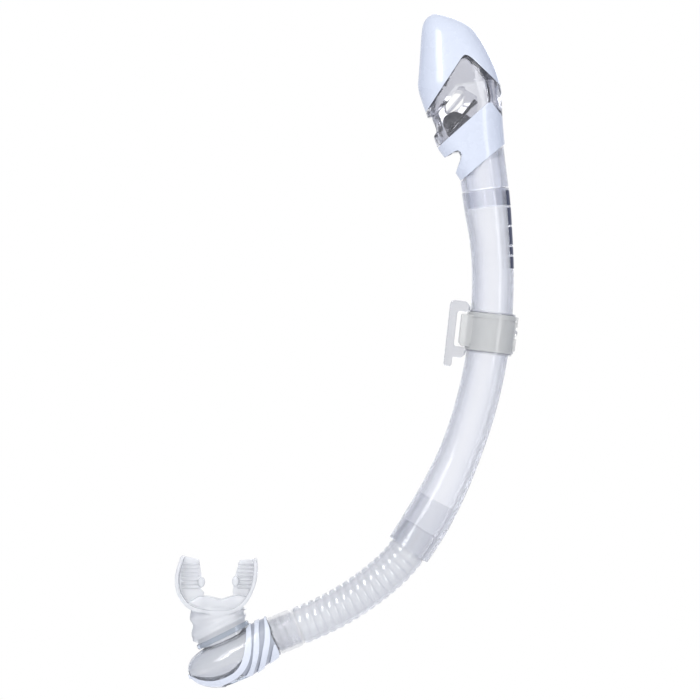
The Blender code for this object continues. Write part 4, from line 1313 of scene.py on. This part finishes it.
@dataclass
class Keeper:
    """Sliding keeper: liner, hook, band and stud."""

    layout: Layout
    dresser: Dresser
    hook: Outline = (
        (-12.5, 12.0), (-14.4, 15.2), (-16.9, 18.0), (-19.0, 18.4), (-24.8, 18.4), (-26.6, 17.6),
        (-27.3, 15.8),
        (-27.3, -22.6), (-26.6, -24.0), (-25.0, -24.5), (-23.4, -24.2), (-22.4, -22.8), (-22.3, -18.0),
        (-17.0, -18.0),
        (-14.6, -15.6), (-12.5, -12.0), (-12.5, -10.8), (-21.4, -10.8), (-22.3, -9.8), (-22.3, 10.4),
        (-21.4, 11.4), (-12.5, 11.4),
    )
    pad: Outline = ((-19.5, 10.3), (-19.5, -8.0), (-17.5, -10.4), (-6.0, -10.4), (-6.0, 10.3))
    blocks: tuple[tuple[float, float], ...] = ((5.1, 11.9), (-10.2, -2.2))

    def build_liner(self) -> None:
        """Split bush with a lip at each end."""
        profile = [(13.95, -13.7), (15.2, -13.7), (15.2, -13.1), (14.45, -13.1)]
        profile += [(radius, -height) for radius, height in profile[::-1]]
        liner = revolve("keeper_liner_bush", self.layout.keeper, profile)
        split = ((-1.0, -20.0), (1.0, -20.0), (1.0, 20.0), (-1.0, 20.0))
        combine(liner, prism("split", self.layout.keeper, split, 5.0, middle=15.0), Operation.CUT)
        self.dresser.dress(liner, Finish.FITTING, "keeper_liner", "keeper_liner")

    def build_hook(self) -> None:
        """Clear hook and its ring."""
        frame = self.layout.keeper
        hook = prism("keeper_hook_clip", frame, self.hook, 6.0, edge=0.9)
        combine(hook, rod("ring", frame, 15.2, -12.9, 12.9, ROUND), Operation.JOIN)
        combine(hook, rod("core", frame, 14.55, -30.0, 30.0, ROUND), Operation.CUT)
        for low, high in ((13.0, 30.0), (-30.0, -13.0)):
            combine(hook, rod("lip_room", frame, 15.5, low, high, ROUND), Operation.CUT)
        self.dresser.dress(hook, Finish.HOOK, "keeper_hook", "keeper")

    def build_band(self) -> None:
        """Soft band with its strap pad, moulded lines and latch blocks."""
        frame = self.layout.keeper
        band = prism("keeper_band_silicone", frame, self.pad, 11.0, edge=0.8)
        profile = [(14.9, -12.2), (15.7, -12.2), (16.2, -11.7), (16.2, 11.7), (15.7, 12.2), (14.9, 12.2)]
        combine(band, rod("band_core_fill", frame, 15.5, -12.1, 12.1, ROUND), Operation.JOIN)
        combine(band, revolve("band_ring", frame, profile), Operation.JOIN)
        for low, high in self.blocks:
            block = ((8.0, low), (17.0, low), (17.0, high), (8.0, high))
            combine(band, prism("block", frame, block, 4.5, edge=0.5), Operation.JOIN)
        for z in (-8.6, 8.8):
            line = [(16.0, z - 0.25), (16.9, z - 0.25), (16.9, z + 0.25), (16.0, z + 0.25)]
            combine(band, revolve("band_line", frame, line), Operation.CUT)
        combine(band, rod("core", frame, 15.4, -30.0, 30.0, ROUND), Operation.CUT)
        for low, high in ((11.0, 20.0), (-20.0, -10.4)):
            room = ((-30.0, low), (-12.0, low), (-12.0, high), (-30.0, high))
            combine(band, prism("arm_room", frame, room, 6.3), Operation.CUT)
        combine(band, rod("stud_hole", self.stud_frame(), 2.2, 10.0, 20.0), Operation.CUT)
        self.dresser.dress(band, Finish.BAND, "keeper_band", "keeper")

    def stud_frame(self) -> Matrix:
        """Frame of the stud, Z pointing away from the barrel."""
        outwards = Matrix.Rotation(math.radians(90.0), 4, "Y")
        return self.layout.keeper @ Matrix.Translation((0.0, 0.0, 1.45)) @ outwards

    def build_stud(self) -> None:
        """Latch stud with a domed head."""
        rows = [(15.5, 1.9), (16.7, 1.9)]
        for index in range(1, 8):
            turn = math.radians(86.0) * index / 7.0
            rows.append((16.7 + 0.7 * math.sin(turn), 1.9 * math.cos(turn)))
        head = loft("latch_stud_head", [ring(self.stud_frame(), z, r, r, count=48) for z, r in rows])
        self.dresser.dress(head, Finish.HOOK, "latch_stud", "keeper")

    def build(self) -> None:
        """Build the keeper."""
        self.build_liner()
        self.build_hook()
        self.build_band()
        self.build_stud()


# ---------------------------------------------------------------------------
# Purge chamber
# ---------------------------------------------------------------------------


@dataclass
class PurgeChamber:
    """Clear chamber with white stripes, purge valve and the tie round its port."""

    layout: Layout
    dresser: Dresser
    sections: tuple[Row, ...] = (
        (-59.2, -4.6, 0.6, 2.6), (-57.5, -7.8, 4.0, 6.8), (-54.0, -11.8, 7.0, 10.8),
        (-49.0, -15.2, 9.0, 13.4),
        (-40.6, -18.2, 10.6, 15.8), (-30.0, -18.6, 11.6, 16.8), (-20.0, -17.2, 11.6, 16.4),
        (-10.5, -14.9, 12.9, 14.8), (0.0, -12.2, 13.2, 12.9),
    )
    wall: float = 2.0
    port_centre: tuple[float, float] = (-29.6, 10.8)
    port_tilt: float = 4.0
    port_size: tuple[float, float] = (14.7, 9.2)
    valve_x: float = -31.0
    valve_bore: float = 10.2
    stripes: dict[str, Outline] = field(
        default_factory=lambda: {
            "stripe_outer": (
                (-13.6, 22.0), (-14.0, 13.6), (-15.8, 7.5), (-20.5, -1.0), (-25.3, -7.0), (-31.5, -10.8),
                (-38.9, -11.8), (-46.5, -10.8), (-53.2, -7.6), (-59.6, -2.1), (-66.0, 2.0), (-66.0, -4.0),
                (-59.6, -4.6), (-56.2, -9.2), (-49.9, -13.5), (-42.8, -15.9), (-35.9, -15.9),
                (-28.1, -13.9),
                (-21.8, -9.6), (-16.5, -2.6), (-12.7, 6.2), (-10.6, 13.6), (-9.6, 22.0),
            ),
            "stripe_middle": (
                (-7.0, 22.0), (-8.0, 13.6), (-9.4, 9.6), (-13.0, 1.7), (-16.8, -5.9), (-21.1, -12.2),
                (-28.5, -18.5), (-33.0, -24.0), (-27.5, -24.0), (-17.2, -12.2), (-13.3, -7.0), (-9.7, 0.2),
                (-6.4, 9.6), (-4.6, 13.6), (-3.6, 22.0),
            ),
            "stripe_inner": (
                (-1.0, 22.0), (-1.4, 13.6), (-5.2, 2.4), (-8.4, -2.9), (-13.2, -10.3), (-23.5, -24.0),
                (-18.8, -24.0), (-10.3, -12.4), (-4.7, -4.3), (-2.0, 0.8), (1.2, 13.6), (2.0, 22.0),
            ),
            "stripe_tip": ((-1.6, -4.2), (-4.6, -8.6), (-15.0, -24.0), (-9.0, -24.0), (-0.8, -10.8),
                (-0.4, -4.6)),
        }
    )

    # Outline of the grey skin painted as shade under and between the stripes.
    shade_ground: Outline = (
        (-12.2, 22.0), (-12.8, 13.6), (-14.4, 6.6), (-18.4, -1.8), (-23.4, -8.4), (-28.4, -11.4),
        (-26.0, -17.0), (-22.0, -24.0), (-8.0, -24.0), (-0.6, -10.4), (-0.3, -3.8),
        (-1.2, 0.6), (0.0, 6.0), (1.0, 13.6), (1.8, 22.0),
    )

    @property
    def port(self) -> Matrix:
        """Frame of the mouthpiece port."""
        return self.layout.purge @ lean_frame(self.port_centre[0], self.port_centre[1], self.port_tilt)

    @property
    def valve(self) -> Matrix:
        """Frame on the purge valve's axis."""
        return self.layout.purge @ Matrix.Translation((self.valve_x, 0.0, 0.0))

    def form(self, name: str, offset: float, start: int = 0, beyond: float = 0.0) -> bpy.types.Object:
        """Chamber form grown by an offset.

        Args:
            name: The object's name.
            offset: How far the form is grown; less than nothing draws it in.
            start: First row that is used.
            beyond: How far the form runs past the chamber's upper end.

        Returns:
            The closed solid.
        """
        rings = []
        rows = smooth_rows(self.sections, 8)[start:]
        for index, (along, low, high, depth) in enumerate(rows):
            place = along - offset if index == 0 and start == 0 else along
            half = max((high - low) / 2.0 + offset, 0.3)
            middle = -(low + high) / 2.0
            rings.append(ring(self.layout.hose_end, place, half, max(depth + offset, 0.3), middle))
        if beyond > 0.0:
            along, low, high, depth = self.sections[-1]
            half = (high - low) / 2.0 + offset
            middle = -(low + high) / 2.0
            rings.append(ring(self.layout.hose_end, along + beyond, half, depth + offset, middle))
        return loft(name, rings)

    def build_body(self) -> None:
        """The chamber, its spigot, port and valve bore."""
        body = self.form("purge_body_shell", 0.0)
        room = self.form("room", -self.wall, start=6)
        combine(room, rod("collar", self.valve, self.valve_bore + 1.3, -30.0, -12.0), Operation.CUT)
        combine(body, rod("spigot", self.layout.hose_end, 10.0, -6.0, 15.0, ROUND), Operation.JOIN)
        for index in range(5):
            z = 3.2 + 2.5 * index
            bead = [(9.6, z - 0.7), (10.6, z - 0.3), (10.6, z + 0.3), (9.6, z + 0.7)]
            combine(body, revolve("bead", self.layout.hose_end, bead), Operation.JOIN)
        outer = [ring(self.port, z, *self.port_size) for z in (-8.0, 7.0)]
        combine(body, loft("port_outer", outer), Operation.JOIN)
        combine(body, room, Operation.CUT)
        bore = [ring(self.port, z, self.port_size[0] - 1.7, self.port_size[1] - 1.7) for z in (-9.0, 12.0)]
        combine(body, loft("port_bore", bore), Operation.CUT)
        combine(body, rod("spigot_bore", self.layout.hose_end, 8.8, -12.0, 30.0, ROUND), Operation.CUT)
        combine(body, rod("valve_bore", self.valve, self.valve_bore, -30.0, -10.0, ROUND), Operation.CUT)
        self.dresser.dress(body, Finish.CHAMBER, "purge_body", "purge")

    def shell(self, name: str, low: float, high: float, outline: Outline) -> bpy.types.Object:
        """Thin skin over the chamber, clear of the tie and the valve.

        Args:
            name: The object's name.
            low: Height of the skin's inner face over the chamber.
            high: Height of its outer face.
            outline: The area that it covers.

        Returns:
            The closed skin.
        """
        skin = self.form(name, high)
        combine(skin, self.form("inside", low, beyond=4.0), Operation.CUT)
        combine(skin, prism("outline", self.layout.purge, outline, 40.0), Operation.KEEP)
        tie = [ring(self.port, z, self.port_size[0] + 3.9, self.port_size[1] + 3.9) for z in (-2.0, 12.0)]
        combine(skin, loft("tie_room", tie), Operation.CUT)
        combine(skin, rod("valve_room", self.valve, self.valve_bore + 0.3, -30.0, 0.0), Operation.CUT)
        return skin

    def build_stripes(self) -> None:
        """White stripes over the chamber, with an opaque grey skin under and between them painted as shade.
        """
        # Painted shade: an opaque grey skin where the clear chamber looks darker between the stripes.
        shade_ground = self.shell("stripe_painted_shade", 0.03, 0.12, self.shade_ground)
        self.dresser.dress(shade_ground, Finish.SHADE_BACKING, "stripe_outer", "purge", replaces=False)
        for node, outline in self.stripes.items():
            skin = self.shell(node + "_trim", 0.16, 0.95, self.refined(outline))
            round_edges(skin, 0.18, segments=2)
            self.dresser.dress(skin, Finish.STRIPE, node, "purge")

    @staticmethod
    def refined(outline: Outline) -> list[tuple[float, float]]:
        """Stripe outline with its long sides drawn as smooth curves."""
        far_end = 65.0
        corners = [(min(-x, far_end), y) for x, y in outline]
        half = 1 + corners.index(max(corners))
        result: list[tuple[float, float]] = []
        for side in (outline[:half], outline[half:]):
            result.extend((row[0], row[1]) for row in smooth_rows(side, 5))
        return result

    def spider(self, name: str, low: float, radius: float) -> bpy.types.Object:
        """Round grid with a rim, four spokes and a hub.

        Args:
            name: The object's name.
            low: Height of its lower face on the valve's axis.
            radius: Outer radius.

        Returns:
            The closed grid.
        """
        frame = self.valve @ Matrix.Translation((0.0, 0.0, low))
        rim = [(radius - 1.4, 0.0), (radius, 0.0), (radius, 1.2), (radius - 1.4, 1.2)]
        reach = radius - 0.7
        plate = revolve(name, frame, rim, 72)
        combine(plate, rod("hub", frame, 2.4, 0.05, 1.15, 32), Operation.JOIN)
        for index in range(2):
            turned = frame @ Matrix.Rotation(math.radians(90.0 * index), 4, "Z")
            inset = 0.1 + 0.05 * index
            bar = ((-reach, inset), (reach, inset), (reach, 1.2 - inset), (-reach, 1.2 - inset))
            combine(plate, prism("bar", turned, bar, 1.0), Operation.JOIN)
        return plate

    def build_valve(self) -> None:
        """Seat, diaphragm and guard of the purge valve."""
        seat = self.spider("purge_seat_spider", -13.3, self.valve_bore - 0.1)
        stem_hole = self.valve @ Matrix.Translation((0.0, 0.0, -13.3))
        combine(seat, rod("stem_hole", stem_hole, 1.2, -4.0, 6.0, 32), Operation.CUT)
        round_edges(seat, 0.15, segments=2)
        self.dresser.dress(seat, Finish.TIE, "purge_valve_seat", "purge")
        guard = self.spider("purge_guard_grid", -17.4, self.valve_bore - 0.1)
        round_edges(guard, 0.15, segments=2)
        self.dresser.dress(guard, Finish.TIE, "purge_guard", "purge")
        frame = self.valve @ Matrix.Translation((0.0, 0.0, -14.3))
        disc_steps = ((9.2, 0.0), (9.4, 0.2), (9.4, 0.5), (9.2, 0.7), (5.0, 0.62))
        steps = disc_steps + ((1.4, 0.7), (1.0, 1.0), (1.0, 4.0), (0.7, 4.2))
        disc = loft("purge_disc", [ring(frame, z, r, r, count=64) for r, z in steps])
        self.dresser.dress(disc, Finish.MOUTH, "purge_diaphragm", "diaphragm")

    def build_tie(self) -> None:
        """Oval tie round the mouthpiece's foot, with a small lock block."""
        outer = (self.port_size[0] + 3.5, self.port_size[1] + 3.5)
        inner = (self.port_size[0] + 2.3, self.port_size[1] + 2.3)
        rings = []
        for grow, z in ((-0.4, 1.0), (0.0, 1.4), (0.0, 2.4), (0.0, 3.8), (-0.4, 4.2)):
            rings.append(ring(self.port, z, outer[0] + grow, outer[1] + grow))
        rings += [ring(self.port, z, *inner) for z in (4.2, 1.0)]
        tie = loft("mouthpiece_tie_band", rings, looped=True)
        self.dresser.dress(tie, Finish.TIE, "mouthpiece_tie", "purge")

    def build(self) -> None:
        """Build the chamber."""
        self.build_body()
        self.build_stripes()
        self.build_valve()
        self.build_tie()


# ---------------------------------------------------------------------------
# Mouthpiece
# ---------------------------------------------------------------------------


@dataclass
class Mouthpiece:
    """Soft mouthpiece: bellows neck, lip wall, ribbed bite wings."""

    chamber: PurgeChamber
    dresser: Dresser
    bite: tuple[float, float] = (-154.0, -172.0)
    folds: float = 4.0
    fold_depth: float = 0.3
    lip_line: Outline = (
        (-23.0, 27.0), (-26.4, 16.0), (-26.6, 9.6), (-24.6, 2.0), (-18.6, -5.0), (-9.0, -8.0), (0.0, -8.6),
        (9.0, -7.6), (15.2, -3.6), (19.6, 2.5), (22.8, 11.5), (23.6, 19.0), (23.0, 25.3),
    )
    wings: Outline = (
        (-23.0, 27.2), (-12.8, 25.0), (-11.2, 14.7), (-11.6, 5.6), (-7.0, 1.9), (1.3, -0.6), (7.6, 1.5),
        (9.0, 6.0),
        (10.2, 14.0), (13.2, 24.4), (23.0, 25.2), (23.4, 19.0), (22.6, 11.5), (19.4, 2.5), (15.0, -3.4),
        (9.0, -7.2), (0.0, -8.2), (-9.0, -7.6), (-18.0, -4.6), (-24.0, 2.0), (-26.0, 9.6), (-26.0, 16.0),
    )
    bridge: Outline = (
        (-20.0, -2.6), (-13.0, 1.6), (-7.0, 1.5), (1.3, -0.6), (7.6, 1.3), (12.6, 2.4), (18.4, 1.2),
        (15.6, -2.6),
        (9.0, -7.0), (0.0, -8.0), (-9.0, -7.4), (-17.4, -4.0),
    )

    @property
    def bite_frame(self) -> Matrix:
        """Frame of the bite, upright."""
        return lean_frame(self.bite[0], self.bite[1], 0.0)

    def ribbon(self, half: float) -> list[tuple[float, float]]:
        """Closed outline of the lip wall."""
        points = [(row[0], row[1]) for row in smooth_rows(self.lip_line, 5)]
        left, right = [], []
        for index, (x, z) in enumerate(points):
            before = points[max(index - 1, 0)]
            after = points[min(index + 1, len(points) - 1)]
            along = Vector((after[0] - before[0], after[1] - before[1])).normalized()
            left.append((x - along.y * half, z + along.x * half))
            right.append((x + along.y * half, z - along.x * half))
        return left + right[::-1]

    def neck(self) -> bpy.types.Object:
        """Bellows neck from the port up to the lip, its folds tilting level by level."""
        port = self.chamber.port
        rows: list[Row] = []
        foot = port.translation
        port_lean = math.degrees(math.atan2(-port.col[2].x, port.col[2].z))
        stations = (
            (foot.x, foot.z, 1.0, port_lean, 16.7, 11.2),
            (foot.x, foot.z, 5.2, port_lean, 16.9, 11.3),
            (foot.x, foot.z, 7.6, port_lean, 18.9, 12.7),
            (foot.x + 0.2, foot.z, 10.2, port_lean, 18.6, 12.4),
            (-154.0, -184.6, 0.0, 17.0, 17.7, 11.5),
            (-154.5, -181.6, 0.0, 9.0, 18.3, 11.2),
            (-155.2, -177.4, 0.0, 0.0, 16.4, 9.4),
        )
        for x, z, rise, lean, half, depth in stations:
            turn = math.radians(lean)
            rows.append((x - rise * math.sin(turn), z + rise * math.cos(turn), lean, half, depth))
        rings = []
        dense = smooth_rows(rows, 9)
        for index, (x, z, lean, half, depth) in enumerate(dense):
            share = index / (len(dense) - 1)
            fade = min(1.0, 5.0 * max(share - 0.2, 0.0), 4.0 * (1.0 - share))
            fold = self.fold_depth * math.sin(math.tau * self.folds * share) * fade
            rings.append(ring(lean_frame(x, z, lean), 0.0, half + fold, depth + fold))
        return loft("mouthpiece_silicone", rings)

    def passage(self) -> bpy.types.Object:
        """Air passage through the mouthpiece."""
        port = self.chamber.port
        rows = (
            (port @ Matrix.Translation((0.0, 0.0, -1.0)), 15.0, 9.5),
            (port @ Matrix.Translation((0.2, 0.0, 8.2)), 15.0, 9.5),
            (lean_frame(-154.0, -185.0, 17.0), 14.0, 8.6),
            (lean_frame(-154.4, -180.0, 4.0), 11.5, 6.0),
            (lean_frame(-154.4, -164.0, 0.0), 9.0, 4.5),
        )
        return loft("passage", [ring(frame, 0.0, rx, ry) for frame, rx, ry in rows])

    def ribs(self) -> list[bpy.types.Object]:
        """Raised ribs across both wings, and the inner lugs."""
        frame = self.bite_frame
        shapes = []
        across = Matrix.Rotation(math.radians(90.0), 4, "Y")
        lug_rows = ((-6.0, 0.7), (-5.0, 1.0), (5.0, 1.0), (6.0, 0.7))
        for index in range(7):
            z = 7.0 + 2.5 * index
            for low, high in ((-23.6, -12.9), (12.2, 21.6)):
                along = frame @ Matrix.Translation((low, 0.0, z)) @ across
                shapes.append(loft("rib", [ring(along, x, 0.8, 3.1, count=24) for x in (0.0, high - low)]))
        for x, z in ((-11.2, 10.4), (10.6, 11.0)):
            lug = frame @ Matrix.Translation((x, 0.0, z)) @ Matrix.Rotation(math.radians(90.0), 4, "X")
            shapes.append(loft("lug", [ring(lug, y, 2.2 * r, 3.2 * r) for y, r in lug_rows]))
        return shapes

    def build(self) -> None:
        """Join every shape and melt them into one moulding."""
        frame = self.bite_frame
        piece = self.neck()
        combine(piece, prism("lip", frame, self.ribbon(1.2), 11.5), Operation.JOIN)
        combine(piece, prism("wings", frame, self.wings, 1.8), Operation.JOIN)
        combine(piece, prism("bridge", frame, self.bridge, 8.5, edge=1.4), Operation.JOIN)
        for shape in self.ribs():
            combine(piece, shape, Operation.JOIN)
        combine(piece, self.passage(), Operation.CUT)
        soften(piece, 0.34, 10)
        self.dresser.dress(piece, Finish.MOUTH, "mouthpiece", "purge")


# ---------------------------------------------------------------------------
# Studio
# ---------------------------------------------------------------------------


@dataclass
class Studio:
    """Camera, floor, lamps and sky."""

    look_at: tuple[float, float, float] = (-0.0702, 0.0, -0.0131)
    width: float = 0.448
    distance: float = 3.0
    floor_drop: float = 0.22
    floor_size: float = 2.6

    def build_camera(self) -> None:
        """Long-lens camera, level with the snorkel."""
        camera = bpy.data.cameras.new("camera")
        camera.sensor_width = 36.0
        camera.lens = camera.sensor_width * self.distance / self.width
        camera.clip_start = 0.05
        camera.clip_end = 50.0
        obj = bpy.data.objects.new("camera", camera)
        bpy.context.scene.collection.objects.link(obj)
        obj.location = (self.look_at[0], self.look_at[1] - self.distance, self.look_at[2])
        obj.rotation_euler = (math.radians(90.0), 0.0, 0.0)
        bpy.context.scene.camera = obj

    def build_floor(self, lowest: float) -> None:
        """Plain pale floor under the snorkel.

        Args:
            lowest: Height of the snorkel's lowest point, in metres.
        """
        half = self.floor_size
        mesh = bpy.data.meshes.new("floor")
        z = lowest - self.floor_drop
        corners = [(-half, -half, z), (half, -half, z), (half, half, z), (-half, half, z)]
        mesh.from_pydata(corners, [], [(0, 1, 2, 3)])
        floor = bpy.data.objects.new("floor", mesh)
        bpy.context.scene.collection.objects.link(floor)
        material = bpy.data.materials.new("floor_white")
        material.use_nodes = True
        shader = material.node_tree.nodes["Principled BSDF"]
        shader.inputs["Base Color"].default_value = (0.93, 0.93, 0.94, 1.0)
        shader.inputs["Roughness"].default_value = 0.7
        mesh.materials.append(material)
        floor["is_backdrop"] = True

    def add_lamp(
        self, name: str, place: tuple[float, float, float], size: tuple[float, float], power: float
    ) -> None:
        """Rectangular lamp aimed at the snorkel.

        Args:
            name: The lamp's name.
            place: Where it stands, in metres.
            size: Its width and height, in metres.
            power: Its power, in watts.
        """
        light = bpy.data.lights.new(name, "AREA")
        light.shape = "RECTANGLE"
        light.size, light.size_y = size
        light.energy = power
        obj = bpy.data.objects.new(name, light)
        bpy.context.scene.collection.objects.link(obj)
        obj.location = place
        aim = Vector(self.look_at) - Vector(place)
        obj.rotation_euler = aim.to_track_quat("-Z", "Y").to_euler()

    def build_sky(self) -> None:
        """Pale sky: white to the camera, softly graded for light and reflections."""
        world = bpy.data.worlds.new("studio")
        bpy.context.scene.world = world
        world.use_nodes = True
        tree = world.node_tree
        tree.nodes.clear()
        out = tree.nodes.new("ShaderNodeOutputWorld")
        light = tree.nodes.new("ShaderNodeBackground")
        white = tree.nodes.new("ShaderNodeBackground")
        white.inputs["Color"].default_value = (1.0, 1.0, 1.0, 1.0)
        white.inputs["Strength"].default_value = 1.0
        place = tree.nodes.new("ShaderNodeTexCoord")
        split = tree.nodes.new("ShaderNodeSeparateXYZ")
        across = tree.nodes.new("ShaderNodeMath")
        across.operation = "ABSOLUTE"
        ramp = tree.nodes.new("ShaderNodeValToRGB")
        stops = (
            (0.0, (0.93, 0.94, 0.97)),
            (0.35, (0.86, 0.88, 0.93)),
            (0.7, (0.5, 0.53, 0.62)),
            (1.0, (0.42, 0.45, 0.55)),
        )
        while len(ramp.color_ramp.elements) < len(stops):
            ramp.color_ramp.elements.new(1.0)
        for element, (position, colour) in zip(ramp.color_ramp.elements, stops):
            element.position = position
            element.color = (*colour, 1.0)
        tree.links.new(place.outputs["Generated"], split.inputs["Vector"])
        tree.links.new(split.outputs["X"], across.inputs[0])
        tree.links.new(across.outputs[0], ramp.inputs["Fac"])
        tree.links.new(ramp.outputs["Color"], light.inputs["Color"])
        path = tree.nodes.new("ShaderNodeLightPath")
        mix = tree.nodes.new("ShaderNodeMixShader")
        tree.links.new(path.outputs["Is Camera Ray"], mix.inputs["Fac"])
        tree.links.new(light.outputs["Background"], mix.inputs[1])
        tree.links.new(white.outputs["Background"], mix.inputs[2])
        tree.links.new(mix.outputs["Shader"], out.inputs["Surface"])

    def build(self, lowest: float) -> None:
        """Set up the studio."""
        self.build_camera()
        self.build_floor(lowest)
        self.add_lamp("key", (-0.9, -1.3, 0.9), (0.5, 1.2), 9.0)
        self.add_lamp("fill", (1.0, -1.2, 0.4), (0.35, 1.3), 6.0)
        self.add_lamp("rim", (0.3, 1.4, 0.8), (1.0, 1.0), 6.0)
        self.add_lamp("strip", (-0.75, -1.4, 0.95), (0.12, 1.2), 5.0)
        self.build_sky()
        bpy.context.scene.view_settings.view_transform = "Standard"
        LOG.info("studio ready")


def plain(bounds: Sequence[Vector]) -> list[list[float]]:
    """Bounds as plain lists."""
    return [[float(value) for value in corner] for corner in bounds]


def main() -> None:
    """Build the snorkel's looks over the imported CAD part."""
    logging.basicConfig(level=logging.INFO, format="%(name)s: %(message)s")
    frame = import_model()
    before = plain(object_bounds())
    layout = Layout({joint["name"]: joint for joint in frame["joints"]})
    dresser = Dresser(EffectLibrary())
    chamber = PurgeChamber(layout, dresser)
    steps: list[tuple[str, Callable[[], None]]] = [
        ("dry top", DryTop(layout, dresser).build),
        ("barrel", Barrel(layout, dresser).build),
        ("hose", Hose(layout, dresser).build),
        ("keeper", Keeper(layout, dresser).build),
        ("purge chamber", chamber.build),
        ("mouthpiece", Mouthpiece(chamber, dresser).build),
    ]
    for name, step in steps:
        step()
        LOG.info("finished the %s", name)
    Studio().build(before[0][2])


if __name__ == "__main__":
    main()
